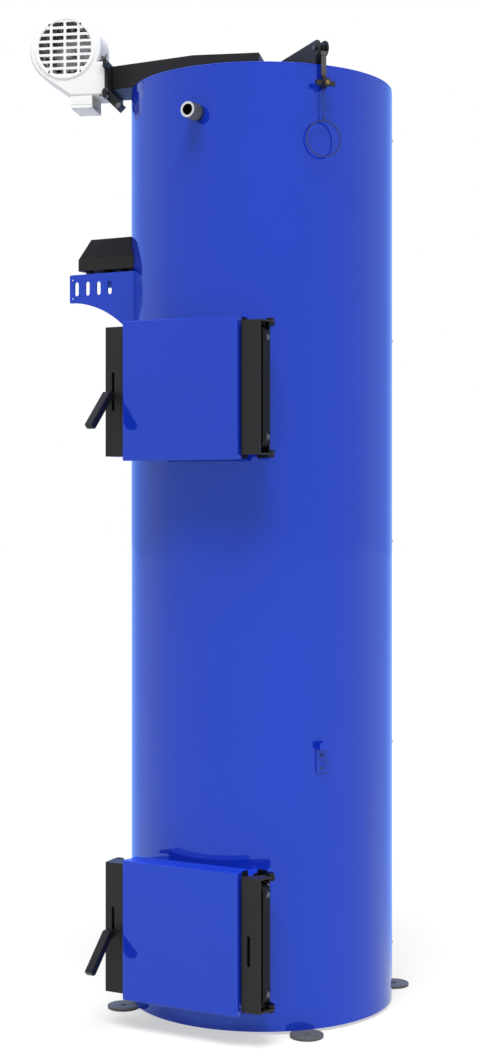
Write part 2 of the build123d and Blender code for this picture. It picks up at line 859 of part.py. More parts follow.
def make_clamp_strap():
    """Black strap from the near lower corner of the flange, down at 45 degrees towards the body."""
    slope = math.sqrt(0.5)
    middle_x = duct_end + flange_thickness / 4 - slope * (clamp_length - clamp_thickness) / 2
    middle_z = flange_bottom - clamp_gap - slope * (clamp_length + clamp_thickness) / 2
    middle_y = flange_near - 1 - clamp_gap - clamp_width / 2
    strap = Rot(0, -45, 0) * Box(clamp_length, clamp_width, clamp_thickness)
    strap = Pos(middle_x, middle_y, middle_z) * strap
    end = slope * (clamp_length / 2 - clamp_width / 2)
    bolt = Pos(middle_x - end, middle_y, middle_z - end) * Rot(0, -45, 0)
    bolt = bolt * Cylinder(clamp_bolt_radius, 3 * clamp_thickness)
    return on_duct(strap + bolt)


def on_arm(shape):
    """Places a shape drawn along the pulley arm: X outwards, Y to the left, Z up from the lid."""
    return Pos(0, 0, body_top) * Rot(0, 0, arm_heading) * shape


def make_arm():
    """Two plates on the lid, joined by a foot, with the axle of the pulley at the nose."""
    rim = body_radius - arm_rim_inset
    outline = make_face(Polyline(
        (arm_root, 0),
        (rim, 0),
        (rim + arm_nose_step, arm_rise - arm_nose_radius),
        (arm_pin, arm_rise - arm_nose_radius),
        (arm_pin, arm_rise + arm_nose_radius),
        (arm_root, arm_back_height),
        close=True,
    ))
    outline += Pos(arm_pin, arm_rise) * Circle(arm_nose_radius)
    arm = Part()
    for side in (-1, 1):
        y0, y1 = sorted((side * arm_gap / 2, side * (arm_gap / 2 + arm_plate)))
        arm += duct_slab(outline, y0, y1)
    arm += block(arm_root, rim - arm_foot_inset, -arm_gap / 2, arm_gap / 2, 0, arm_plate)
    half = arm_gap / 2 + arm_plate + arm_pin_overhang
    arm += rod_y(arm_pin_radius, -half, half, arm_pin, arm_rise)
    for side in (-1, 1):
        y0, y1 = sorted((side * (half - arm_pin_overhang), side * half))
        arm += rod_y(arm_pin_radius + arm_pin_head, y0, y1, arm_pin, arm_rise)
    return on_arm(arm)


def make_wheel():
    """Grooved pulley wheel between the plates of the arm."""
    half = wheel_width / 2
    section = make_face(Polyline(
        (arm_pin_radius + wheel_clearance, -half),
        (wheel_radius, -half),
        (wheel_radius - wheel_groove, 0),
        (wheel_radius, half),
        (arm_pin_radius + wheel_clearance, half),
        close=True,
    ))
    wheel = revolve(section, Axis.Y)
    return on_arm(Pos(arm_pin, 0, arm_rise) * wheel)


def make_strap():
    """Steel strap that hangs from the nose of the arm."""
    strap = block(strap_radius, strap_radius + strap_thickness, -strap_width / 2, strap_width / 2,
                  strap_bottom, strap_top)
    strap += block(strap_radius, strap_radius + strap_thickness, -arm_gap / 2, arm_gap / 2,
                   arm_rise - arm_nose_radius + strap_head_inset, strap_top)
    return on_arm(strap)


def make_knob():
    """Clamp knob with wings at the lower end of the strap."""
    x = strap_radius + strap_thickness / 2
    hub = rod_x(knob_radius, x - knob_back, x - knob_back + knob_length, 0, knob_level)
    wing = block(x + knob_wing[0], x + knob_wing[1], -knob_wing_reach, knob_wing_reach,
                 knob_level - knob_wing_half_height, knob_level + knob_wing_half_height)
    stem = block(x - knob_stem_half[0], x + knob_stem_half[0], -knob_stem_half[1], knob_stem_half[1],
                 knob_level, strap_bottom)
    collar = Pos(x, 0, (knob_level + cable_top) / 2) * Cylinder(knob_collar_radius, knob_level - cable_top)
    return on_arm(hub + wing + stem + collar)


def make_cable():
    x = strap_radius + strap_thickness / 2
    bottom = ring_level + ring_radius
    cable = Pos(x, 0, (cable_top + bottom) / 2) * Cylinder(cable_radius, cable_top - bottom)
    return on_arm(cable)


def make_ring():
    x = strap_radius + strap_thickness / 2
    ring = Rot(0, 90, 0) * Torus(ring_radius - ring_wire, ring_wire)
    return on_arm(Pos(x, 0, ring_level) * Rot(0, 0, ring_turn) * ring)


def make_hook():
    """Small blue hook on the body that holds the ring when it is pulled down."""
    face = body_radius + fit_gap
    plate = block(face - hook_seat, face + hook_sheet, -hook_width / 2, hook_width / 2, hook_bottom, hook_top)
    shelf = block(face, face + hook_reach, -hook_width / 2, hook_width / 2, hook_top - hook_sheet, hook_top)
    lip = block(face + hook_reach - hook_sheet, face + hook_reach, -hook_width / 2, hook_width / 2,
                hook_top - hook_sheet, hook_top + hook_lip)
    hook = plate + shelf + lip - upright(face, hook_bottom - 1, hook_top + hook_lip + 1)
    return Rot(0, 0, arm_heading) * hook


def build_parts():
    """Every piece of the boiler by name."""
    parts = {
        "base_plate": make_base_plate(),
        "water_jacket": make_jacket(),
        "outer_casing": make_casing(),
        "casing_lid": make_lid(),
        "feet": make_feet(),
        "supply_nipple": make_nipple(-90, supply_level),
        "return_nipple": make_nipple(90, return_level),
        "sensor_socket": make_socket(),
        "flue_spigot": make_flue(),
        "side_bracket": make_side_bracket(),
        "control_box": make_control_box(),
        "air_duct": make_duct(),
        "duct_flange": make_flange(),
        "fan_scroll": make_scroll(),
        "fan_grille": make_grille(),
        "fan_impeller": make_impeller(),
        "fan_motor": make_motor(),
        "fan_foot": make_fan_foot(),
        "fan_wing_bolts": make_wing_bolts(),
        "fan_clamp_strap": make_clamp_strap(),
        "pulley_arm": make_arm(),
        "pulley_wheel": make_wheel(),
        "cable_strap": make_strap(),
        "cable_clamp": make_knob(),
        "pull_cable": make_cable(),
        "pull_ring": make_ring(),
        "ring_hook": make_hook(),
    }
    for name, level in door_levels.items():
        parts[f"{name}_door_neck"] = make_neck(level)
        parts[f"{name}_door_hinge"] = make_hinge(level)
        parts[f"{name}_latch_keeper"] = make_keeper(level)
        parts[f"{name}_door_leaf"] = make_leaf(level)
        parts[f"{name}_door_seal"] = make_seal(level)
        parts[f"{name}_door_liner"] = make_liner(level)
        parts[f"{name}_door_cover"] = make_cover(level)
        parts[f"{name}_latch_channel"] = make_latch_channel(name, level)
        parts[f"{name}_hinge_channel"] = make_hinge_channel(name, level)
        parts[f"{name}_handle"] = make_handle(level)
    return parts


os.makedirs("parts", exist_ok=True)
for node, shape in build_parts().items():
    export_step(shape, f"parts/{node}.step")
    print(node, round(shape.volume / 1000), "cm3")
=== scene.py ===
import math

import bmesh
import bpy
from mathutils import Matrix, Vector


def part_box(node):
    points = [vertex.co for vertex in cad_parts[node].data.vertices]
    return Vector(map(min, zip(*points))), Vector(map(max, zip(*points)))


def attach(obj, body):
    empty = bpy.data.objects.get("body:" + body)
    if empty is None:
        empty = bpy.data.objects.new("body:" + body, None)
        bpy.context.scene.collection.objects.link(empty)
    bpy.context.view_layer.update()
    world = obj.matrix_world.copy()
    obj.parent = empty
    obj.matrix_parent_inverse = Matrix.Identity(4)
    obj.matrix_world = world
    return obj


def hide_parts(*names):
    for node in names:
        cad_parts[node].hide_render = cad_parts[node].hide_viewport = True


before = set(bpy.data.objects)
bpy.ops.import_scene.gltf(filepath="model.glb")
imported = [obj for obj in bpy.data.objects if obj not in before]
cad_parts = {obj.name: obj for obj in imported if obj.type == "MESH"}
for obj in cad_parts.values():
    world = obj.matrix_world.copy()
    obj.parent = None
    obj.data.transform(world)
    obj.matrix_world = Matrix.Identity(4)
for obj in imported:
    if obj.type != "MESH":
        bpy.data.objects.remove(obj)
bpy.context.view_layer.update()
mm = 0.001


# Camera at the photograph's place: level, looking at the boiler from the right of its doors
camera = {
    "azimuth": 28.5,  # degrees from straight in front, towards the right
    "place": (1.779, -3.374, 1.067),
    "lens": 60.1,
    "sensor": 36.0,
    "shiftY": -0.0267,
}


def makeCamera():
    data = bpy.data.cameras.new("photoCamera")
    data.lens = camera["lens"]
    data.sensor_width = camera["sensor"]
    data.shift_y = camera["shiftY"]
    eye = bpy.data.objects.new("photoCamera", data)
    eye.location = camera["place"]
    eye.rotation_euler = (math.radians(90), 0, math.radians(camera["azimuth"]))
    bpy.context.scene.collection.objects.link(eye)
    bpy.context.scene.camera = eye


makeCamera()
print("camera is in place")


# Pull cable: it hangs straight from the clamp to the ring
cable = {
    "points": [(0.233013, -0.174316, 1.895), (0.233013, -0.174316, 1.8842), (0.233013, -0.174316, 1.8433),
               (0.233013, -0.174316, 1.8325)],
    "lengthMm": 62.5,
    "diameterMm": 1.8,
    "ferrule": [(0, 0), (1.7, 0), (2.2, 0.5), (2.2, 6.5), (1.7, 7), (0, 7)],
}


def makeCable():
    data = bpy.data.curves.new("pullCableStrands", "CURVE")
    data.dimensions = "3D"
    data.bevel_depth = cable["diameterMm"] * mm / 2
    data.bevel_resolution = 4
    data.use_fill_caps = True
    spline = data.splines.new("NURBS")
    spline.points.add(len(cable["points"]) - 1)
    for point, place in zip(spline.points, cable["points"]):
        point.co = (*place, 1)
    spline.order_u = 3
    spline.use_endpoint_u = True
    piece = bpy.data.objects.new("pullCableStrands", data)
    bpy.context.scene.collection.objects.link(piece)
    return piece


pullCable = makeCable()
print("cable hangs")


# Studio: white surround, pale floor, a soft key light high in front of the doors, a weak one from the right
# and a wide one from above. Gloss mirrors a bluish wall behind the boiler. Matt surfaces get less light from
# around them. Heights are degrees above the horizon, turns are degrees to the right of straight in front, and
# a wider spread makes softer shadows
studio = {
    "surround": 1.0,
    "fill": 0.38,
    "wallTint": (0.42, 0.66, 1.4),
    "wallDirection": (-0.477, 0.879, 0.0),
    "wallFrom": 0.25,
    "wallTo": 0.85,
    "lightPlace": (0, -1.5, 4),
    "lights": {
        "keySoftbox": {"strength": 5.2, "height": 69, "turn": 24, "spread": 32},
        "sideSoftbox": {"strength": 0.55, "height": 20, "turn": 85, "spread": 32},
        "topSoftbox": {"strength": 2.0, "height": 90, "turn": 0, "spread": 70},
    },
    "floorSize": 60,
    "floorDropMm": 0.5,
    "floorGlow": 0.54,
    "floorColour": "828282",
}
white = (1, 1, 1, 1)


def linear(code):
    parts = [int(code[i:i + 2], 16) / 255 for i in (0, 2, 4)]
    return [v / 12.92 if v <= 0.04045 else ((v + 0.055) / 1.055) ** 2.4 for v in parts] + [1.0]


def addNode(tree, kind, settings=None, links=None):
    node = tree.nodes.new(kind)
    for key, value in (settings or {}).items():
        if key in node.inputs.keys():
            node.inputs[key].default_value = value
        else:
            setattr(node, key, value)
    for key, source in (links or {}).items():
        tree.links.new(source, node.inputs[key])
    return node


def newMaterial(name):
    material = bpy.data.materials.new(name)
    material.use_nodes = True
    tree = material.node_tree
    tree.nodes.clear()
    return material, tree


def mixColours(tree, share, first, second):
    # Each of the two is a colour or a socket
    mix = addNode(tree, "ShaderNodeMix", {"data_type": "RGBA"}, {0: share})
    for index, colour in ((6, first), (7, second)):
        if isinstance(colour, bpy.types.NodeSocket):
            tree.links.new(colour, mix.inputs[index])
        else:
            mix.inputs[index].default_value = colour
    return mix.outputs[2]


def shareOfWall(tree, direction):
    facing = addNode(tree, "ShaderNodeVectorMath", {"operation": "DOT_PRODUCT"}, {0: direction})
    facing.inputs[1].default_value = studio["wallDirection"]
    return addNode(tree, "ShaderNodeMapRange", {
        "interpolation_type": "SMOOTHSTEP", "From Min": studio["wallFrom"], "From Max": studio["wallTo"],
    }, {"Value": facing.outputs["Value"]}).outputs[0]


def makeSurround():
    world = bpy.data.worlds.new("studioSurround")
    world.use_nodes = True
    tree = world.node_tree
    tree.nodes.clear()
    direction = addNode(tree, "ShaderNodeTexCoord").outputs["Generated"]
    mirrored = mixColours(tree, shareOfWall(tree, direction), white, (*studio["wallTint"], 1))
    rays = addNode(tree, "ShaderNodeLightPath")
    fill = (studio["fill"], studio["fill"], studio["fill"], 1)
    around = mixColours(tree, rays.outputs["Is Glossy Ray"], fill, mirrored)
    seen = mixColours(tree, rays.outputs["Is Camera Ray"], around, white)
    light = addNode(tree, "ShaderNodeBackground", {"Strength": studio["surround"]}, {"Color": seen})
    addNode(tree, "ShaderNodeOutputWorld", links={"Surface": light.outputs[0]})
    bpy.context.scene.world = world
    bpy.context.scene.view_settings.view_transform = "Standard"


def makeLights():
    for name, light in studio["lights"].items():
        data = bpy.data.lights.new(name, "SUN")
        data.angle = math.radians(light["spread"])
        data.energy = light["strength"]
        lamp = bpy.data.objects.new(name, data)
        lamp.location = studio["lightPlace"]
        lamp.rotation_euler = (math.radians(90 - light["height"]), 0, math.radians(light["turn"]))
        lamp.visible_glossy = False
        bpy.context.scene.collection.objects.link(lamp)


def makeFloor():
    half = studio["floorSize"] / 2
    mesh = bpy.data.meshes.new("paleFloor")
    corners = [(-half, -half, 0), (half, -half, 0), (half, half, 0), (-half, half, 0)]
    mesh.from_pydata(corners, [], [(0, 1, 2, 3)])
    floor = bpy.data.objects.new("paleFloor", mesh)
    floor.location.z = -studio["floorDropMm"] * mm
    material, tree = newMaterial("paleFloor")
    # Gloss mirrors the far floor in the wall's tint too, so that a mirror image has no step at the horizon
    place = addNode(tree, "ShaderNodeNewGeometry").outputs["Position"]
    heading = addNode(tree, "ShaderNodeVectorMath", {"operation": "NORMALIZE"}, {0: place}).outputs[0]
    rays = addNode(tree, "ShaderNodeLightPath")
    share = addNode(tree, "ShaderNodeMath", {"operation": "MULTIPLY"},
                    {0: shareOfWall(tree, heading), 1: rays.outputs["Is Glossy Ray"]})
    tinted = mixColours(tree, share.outputs[0], white, (*studio["wallTint"], 1))
    paint = addNode(tree, "ShaderNodeVectorMath", {"operation": "MULTIPLY"}, {0: tinted})
    paint.inputs[1].default_value = linear(studio["floorColour"])[:3]
    matt = addNode(tree, "ShaderNodeBsdfDiffuse", links={"Color": paint.outputs[0]})
    glow = addNode(tree, "ShaderNodeEmission", {"Strength": studio["floorGlow"]}, {"Color": tinted})
    shader = addNode(tree, "ShaderNodeAddShader", links={0: matt.outputs[0], 1: glow.outputs[0]})
    addNode(tree, "ShaderNodeOutputMaterial", links={"Surface": shader.outputs[0]})
    mesh.materials.append(material)
    bpy.context.scene.collection.objects.link(floor)


makeSurround()
makeLights()
makeFloor()
print("studio is lit")


# Finishes. Each pattern's size is a real one in millimetres; finer ones are drawn as coarse as they need to
# show. The shares say where in a noise's range, or in the bend of an edge, a change begins and where it is
# whole
pattern = {
    "cloudDetail": 6.0, "cloudRoughness": 0.6, "colourShares": (0.35, 0.7), "sheenShares": (0.3, 0.7),
    "wearSamples": 6, "wearPatchMm": 8, "wearDetail": 5.0, "bendShares": (0.985, 0.86),
    "patchShares": (0.42, 0.66), "grainDetail": 2.0,
}


def addNoise(tree, position, sizeMm, detail, **settings):
    return addNode(tree, "ShaderNodeTexNoise", {"Scale": 1000 / sizeMm, "Detail": detail, **settings},
                   {"Vector": position}).outputs[0]


def addRange(tree, value, shares, low=0.0, high=1.0):
    return addNode(tree, "ShaderNodeMapRange", {
        "From Min": shares[0], "From Max": shares[1], "To Min": low, "To Max": high,
    }, {"Value": value}).outputs[0]


def finish(name, colour, roughness, metallic=0.0, specular=0.5, tint=(1, 1, 1), clouds=None,
           roughnessSpread=0.0, grain=None, wear=None, sheen=0.0):
    # Clouds: amount, size in mm and second colour. Grain: size and height in mm. Wear: width in mm and colour
    material, tree = newMaterial(name)
    position = addNode(tree, "ShaderNodeTexCoord").outputs["Object"]
    shader = addNode(tree, "ShaderNodeBsdfPrincipled", {
        "Roughness": roughness, "Metallic": metallic, "Specular IOR Level": specular,
        "Specular Tint": (*tint, 1), "Sheen Weight": sheen,
    })
    base = linear(colour)
    shader.inputs["Base Color"].default_value = base
    if clouds:
        amount, sizeMm, cloudColour = clouds
        cloud = addNoise(tree, position, sizeMm, pattern["cloudDetail"], Roughness=pattern["cloudRoughness"])
        base = mixColours(tree, addRange(tree, cloud, pattern["colourShares"], 0.0, amount), base,
                          linear(cloudColour))
    if roughnessSpread:
        spread = addRange(tree, cloud, pattern["sheenShares"], roughness - roughnessSpread,
                          roughness + roughnessSpread)
        tree.links.new(spread, shader.inputs["Roughness"])
    if wear:
        # Bare metal shows where edges are rubbed: there the rounded normal leaves the true one
        widthMm, wearColour = wear
        rounded = addNode(tree, "ShaderNodeBevel", {
            "Radius": widthMm * mm, "samples": pattern["wearSamples"],
        })
        true = addNode(tree, "ShaderNodeNewGeometry").outputs["Normal"]
        meeting = addNode(tree, "ShaderNodeVectorMath", {"operation": "DOT_PRODUCT"},
                          {0: rounded.outputs[0], 1: true})
        patches = addNoise(tree, position, pattern["wearPatchMm"], pattern["wearDetail"])
        both = addNode(tree, "ShaderNodeMath", {"operation": "MULTIPLY"}, {
            0: addRange(tree, meeting.outputs["Value"], pattern["bendShares"]),
            1: addRange(tree, patches, pattern["patchShares"]),
        })
        base = mixColours(tree, both.outputs[0], base, linear(wearColour))
    if clouds or wear:
        tree.links.new(base, shader.inputs["Base Color"])
    if grain:
        sizeMm, heightMm = grain
        height = addNoise(tree, position, sizeMm, pattern["grainDetail"])
        bump = addNode(tree, "ShaderNodeBump", {"Strength": 1.0, "Distance": heightMm * mm},
                       {"Height": height})
        tree.links.new(bump.outputs[0], shader.inputs["Normal"])
    addNode(tree, "ShaderNodeOutputMaterial", links={"Surface": shader.outputs[0]})
    return material


# Royal blue polyester powder, baked: a deep colour under a glassy skin that mirrors what stands near it.
# A touch of metallic tints part of the mirror image blue; the faint waves are its orange peel, 6 mm across.
blueGlossPowder = finish("blueGlossPowder", "112CA8", 0.05, metallic=0.2, specular=0.62,
                         tint=(0.6, 0.96, 1.0), clouds=(0.3, 240, "1330AE"), grain=(6, 0.005))
# Black epoxy-polyester powder, satin: dull sheen with a fine sandy grain, 0.4 mm, drawn at 1.1 mm
blackSatinPowder = finish("blackSatinPowder", "1B1B1B", 0.42, specular=0.22, clouds=(0.5, 90, "212121"),
                          roughnessSpread=0.05, grain=(1.1, 0.03))
# A deeper black on the door leaves behind the covers, with hardly any sheen
mattBlackPowder = finish("mattBlackPowder", "0B0B0E", 0.55, specular=0.12, clouds=(0.5, 90, "101013"),
                         roughnessSpread=0.05, grain=(1.1, 0.03))
# Black powder coat on the air duct and its flange: smoother, a little lighter
blackSmoothPowder = finish("blackSmoothPowder", "212122", 0.5, specular=0.16, clouds=(0.5, 120, "272728"),
                           roughnessSpread=0.04, grain=(2.5, 0.01))
# Black oxide steel bar of the handles: near black with a soft shine
blackOxideBar = finish("blackOxideBar", "0D0D10", 0.34, specular=0.28, clouds=(0.6, 25, "15151A"),
                       roughnessSpread=0.08, grain=(1.0, 0.01), wear=(1.2, "3A3B40"))
# White powder on the fan's die-cast casing: bright, softly glossy
whitePowder = finish("whitePowder", "D7D7D7", 0.5, specular=0.12, clouds=(0.4, 50, "D2D2D2"),
                     roughnessSpread=0.05, grain=(2.2, 0.01))
# Zinc plated steel: pale grey metal with cloudy patches
zincPlatedSteel = finish("zincPlatedSteel", "B9BBBE", 0.30, metallic=1.0, clouds=(0.7, 7, "9A9DA2"),
                         roughnessSpread=0.08, grain=(0.8, 0.006))
# Turned steel pipe end: brighter, with fine tool marks read as a finer sheen
turnedSteel = finish("turnedSteel", "D8DADD", 0.20, metallic=1.0, clouds=(0.5, 5, "B4B7BC"),
                     roughnessSpread=0.06)
# Threads and outsides of the pipe ends: the same steel, duller, and darker as painted shade
pipeSteelShaded = finish("pipeSteelShaded", "5C616B", 0.45, metallic=1.0, clouds=(0.6, 6, "4B5059"),
                    roughnessSpread=0.06)
# Dark hardened steel of pins and hinge bolts
darkSteel = finish("darkSteel", "303033", 0.38, metallic=1.0, clouds=(0.7, 9, "222225"),
                   roughnessSpread=0.1, grain=(0.9, 0.008), wear=(0.8, "77797D"))
# Brass screw core: warm yellow metal, slightly dull
turnedBrass = finish("turnedBrass", "9C8658", 0.4, metallic=1.0, clouds=(0.6, 3, "6C5A34"),
                     roughnessSpread=0.08)
# Moulded phenolic knob: deep black, even half gloss
blackPhenolic = finish("blackPhenolic", "101011", 0.32, specular=0.5, clouds=(0.4, 12, "18181A"),
                       roughnessSpread=0.04, grain=(1.5, 0.006))
# Hot rolled boiler plate with soot and a little rust: matt, blotchy, brown-black
sootedPlate = finish("sootedPlate", "2A2624", 0.85, metallic=0.2, specular=0.3, clouds=(1.0, 45, "4A3426"),
                     roughnessSpread=0.1, grain=(3, 0.15))
# Heat-proof paint on the flue spigot and motor: dark grey, dull
heatProofPaint = finish("heatProofPaint", "3A3B3D", 0.55, specular=0.45, clouds=(0.7, 40, "2E2F31"),
                        roughnessSpread=0.06, grain=(1.4, 0.03))
# Vermiculite board: pressed flakes, tan with dark and pale specks, about 4 mm
vermiculiteBoard = finish("vermiculiteBoard", "9B7F5A", 0.9, specular=0.25, clouds=(1.0, 4, "5E4A33"),
                          grain=(3, 0.35))
# Glass fibre rope: off-white braid, soft and dull
glassFibreRope = finish("glassFibreRope", "C9C4B6", 0.85, specular=0.2, clouds=(0.8, 3, "A79F8C"),
                        grain=(1.6, 0.25), sheen=0.3)
# Drawn steel wire of the cable and the ring, a little dull; its dark blue is a painted reflection of the body
wireWithPaintedReflection = finish("wireWithPaintedReflection", "444F80", 0.26, metallic=1.0, clouds=(0.6, 4, "38426C"),
                  roughnessSpread=0.08)
# Moulded housing of the control box: black, a little rougher than the sheet metal
blackHousing = finish("blackHousing", "131313", 0.46, specular=0.24, clouds=(0.5, 60, "181818"),
                      roughnessSpread=0.05, grain=(1.2, 0.03))
# Its sloping front: same plastic, darker as painted shade; a deep matt grain throws almost no light back
shadedSlopeHousing = finish("shadedSlopeHousing", "0C0C0C", 0.6, specular=0.1, clouds=(0.5, 60, "101010"),
                     roughnessSpread=0.05, grain=(1.2, 0.04))
# Inside the pipe ends: dull and nearly black, as painted shade in the deep bore
boreShadeBlack = finish("boreShadeBlack", "0A0A0B", 0.8, specular=0.15, clouds=(0.8, 8, "17130F"),
                   roughnessSpread=0.05, grain=(1.5, 0.05))
# Grey strip steel with a dull protective coat
dullStrip = finish("dullStrip", "484849", 0.5, specular=0.3, clouds=(0.6, 12, "3C3C3D"),
                   roughnessSpread=0.06, grain=(1.0, 0.01))
# Die-cast zinc of the wing nuts: mid grey, softly metallic
castZinc = finish("castZinc", "6E7075", 0.4, metallic=1.0, clouds=(0.7, 5, "5A5C61"), roughnessSpread=0.08,
                  grain=(1.2, 0.02))
# Rubber feet of the control box
blackRubber = finish("blackRubber", "161616", 0.7, specular=0.4, clouds=(0.5, 10, "202020"),
                     roughnessSpread=0.05, grain=(1.2, 0.02))
print("finishes are mixed")


# Building blocks: shapes are added to a bmesh in the frame's metres, then made into one piece
def along(origin, axis, turn=0.0):
    direction = Vector(axis).normalized()
    rotation = direction.to_track_quat("Z", "Y").to_matrix().to_4x4()
    return Matrix.Translation(origin) @ rotation @ Matrix.Rotation(turn, 4, "Z")


def inMetres(points):
    return [tuple(value * mm for value in point) for point in points]


def addRing(bm, matrix, radius, height, segments):
    angles = [2 * math.pi * i / segments for i in range(segments)]
    return [bm.verts.new(matrix @ Vector((radius * math.cos(a), radius * math.sin(a), height)))
            for a in angles]


def joinRings(bm, lower, upper):
    # A ring of one vertex is a point on the axis
    count = max(len(lower), len(upper))
    for i in range(count):
        j = (i + 1) % count
        if len(lower) == 1:
            bm.faces.new((lower[0], upper[j], upper[i]))
        elif len(upper) == 1:
            bm.faces.new((lower[i], lower[j], upper[0]))
        else:
            bm.faces.new((lower[i], lower[j], upper[j], upper[i]))


def addTurned(bm, matrix, profile, segments=32):
    onAxis = 1e-7
    rings = [addRing(bm, matrix, radius, height, segments if radius > onAxis else 1)
             for radius, height in profile]
    for lower, upper in zip(rings, rings[1:]):
        joinRings(bm, lower, upper)


def addPrism(bm, matrix, outline, height):
    low, high = ([bm.verts.new(matrix @ Vector((x, y, z))) for x, y in outline] for z in (0, height))
    bm.faces.new(list(reversed(low)))
    bm.faces.new(high)
    joinRings(bm, low, high)


# Shares of a hexagon's height and radius, and of a bolt's size
hexShape = {"lip": 0.18, "bottom": 0.93, "top": 0.9}
bolt = {"head": 1.6, "headHeight": 0.64, "washer": 1.05, "washerHeight": 0.16}


def addHex(bm, matrix, acrossFlats, height):
    radius = acrossFlats / math.sqrt(3)
    lip = height * hexShape["lip"]
    low, high = radius * hexShape["bottom"], radius * hexShape["top"]
    profile = ((low, 0), (radius, lip), (radius, height - lip), (high, height))
    rings = [addRing(bm, matrix, reach, level, 6) for reach, level in profile]
    for lower, upper in zip(rings, rings[1:]):
        joinRings(bm, lower, upper)
    bm.faces.new(list(reversed(rings[0])))
    bm.faces.new(rings[-1])


def addWasher(bm, matrix, radius, thickness):
    edge = thickness / 5
    addTurned(bm, matrix, [(0, 0), (radius - edge, 0), (radius, edge), (radius, thickness - edge),
                           (radius - edge, thickness), (0, thickness)])


def addBolt(bm, matrix, size, headHeight=None):
    start = size * bolt["washerHeight"]
    addWasher(bm, matrix, size * bolt["washer"], start)
    addHex(bm, matrix @ Matrix.Translation((0, 0, start)), size * bolt["head"],
           headHeight or size * bolt["headHeight"])


def addDome(bm, matrix, radius, height, segments=24):
    steps = 5
    profile = [(0, 0), (radius, 0)]
    for i in range(1, steps):
        a = math.pi / 2 * i / steps
        profile.append((radius * math.cos(a), height * math.sin(a)))
    profile.append((0, height))
    addTurned(bm, matrix, profile, segments)


def addLoop(bm, points, radius, segments):
    # Round wire along a closed line
    points = [Vector(p) for p in points]
    rings = []
    side = None
    for before, point, after in zip(points[-1:] + points, points, points[1:] + points[:1]):
        tangent = (after - before).normalized()
        if side is None:
            side = tangent.orthogonal().normalized()
        side = (side - tangent * side.dot(tangent)).normalized()
        other = tangent.cross(side)
        ring = []
        for k in range(segments):
            a = 2 * math.pi * k / segments
            ring.append(bm.verts.new(point + radius * (math.cos(a) * side + math.sin(a) * other)))
        rings.append(ring)
    for lower, upper in zip(rings, rings[1:] + rings[:1]):
        joinRings(bm, lower, upper)


def makePiece(name, bm, material, body, replaces=(), bevelMm=0.0, segments=2, sharpDegrees=32):
    bmesh.ops.recalc_face_normals(bm, faces=bm.faces)
    mesh = bpy.data.meshes.new(name)
    bm.to_mesh(mesh)
    bm.free()
    mesh.materials.append(material)
    piece = bpy.data.objects.new(name, mesh)
    bpy.context.scene.collection.objects.link(piece)
    if bevelMm:
        bevel = piece.modifiers.new("edgeRounding", "BEVEL")
        bevel.width = bevelMm * mm
        bevel.segments = segments
        bevel.limit_method = "ANGLE"
        bevel.angle_limit = math.radians(sharpDegrees)
        bevel.harden_normals = False
    mesh.shade_smooth()
    mesh.set_sharp_from_angle(angle=math.radians(sharpDegrees))
    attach(piece, body)
    if replaces:
        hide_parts(*replaces)
    return piece


merge = {"distance": 2e-6, "flatDegrees": 0.5}


def dressNode(node, name, material, body, bevelMm, segments=2, sharpDegrees=32, shift=None,
              reshape=None):
    # The node's own form with its edges rounded, as sheet metal and castings have them
    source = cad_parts[node]
    bm = bmesh.new()
    bm.from_mesh(source.data)
    for vertex in bm.verts:
        if shift:
            vertex.co += shift
        if reshape:
            reshape(vertex)
    bmesh.ops.remove_doubles(bm, verts=bm.verts, dist=merge["distance"])
    bmesh.ops.dissolve_limit(bm, angle_limit=math.radians(merge["flatDegrees"]), verts=bm.verts,
                             edges=bm.edges)
    return makePiece(name, bm, material, body, (node,), bevelMm, segments, sharpDegrees)


def paintFaces(piece, material, chosen):
    # A second finish on the faces that pass the test of their middle and their direction
    piece.data.materials.append(material)
    for face in piece.data.polygons:
        if chosen(face.center, face.normal):
            face.material_index = len(piece.data.materials) - 1


def paintNode(node, material):
    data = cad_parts[node].data
    data.materials.clear()
    data.materials.append(material)


# Round body: one rolled sheet with a riveted seam on the right, cut out for the two door necks and the flue
casing = {
    "segments": 288,
    "rowMm": 30,
    "wallMm": 3,
    "seamHeading": 28.5,
    "seamWidthMm": 15,
    "seamLiftMm": 0.9,
    "rivetRadiusMm": 4.2,
    "rivetHeightMm": 2.4,
    "rivetLevelsMm": (117, 549, 981, 1412, 1844),
    "seamSteps": 6,
    "leastTurn": 0.002,  # radians between two columns
    "cutFromMm": 100,
    "cutLengthMm": 300,
    "cutSegments": 96,
}
casingLow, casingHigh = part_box("outer_casing")
bodyRadius = casingHigh.x


def frontTurns(reach):
    # The turns at which the round body is this far left and right of its front
    front = 1.5 * math.pi
    spread = math.asin(reach / bodyRadius)
    return front - spread, front + spread


def casingGrid(windows):
    count = casing["segments"]
    edges = {round(2 * math.pi * i / count, 9) for i in range(count)}
    levels = {round(casingLow.z, 6), round(casingHigh.z, 6)}
    for left, right, bottom, top in windows:
        edges.update((round(left, 9), round(right, 9)))
        levels.update((round(bottom, 6), round(top, 6)))
    angles = []
    for value in sorted(edges):
        if not angles or value - angles[-1] > casing["leastTurn"]:
            angles.append(value)
    levels = sorted(levels)
    rows = []
    for low, high in zip(levels, levels[1:]):
        steps = max(1, round((high - low) / (casing["rowMm"] * mm)))
        rows += [low + (high - low) * i / steps for i in range(steps)]
    return angles, rows + levels[-1:]


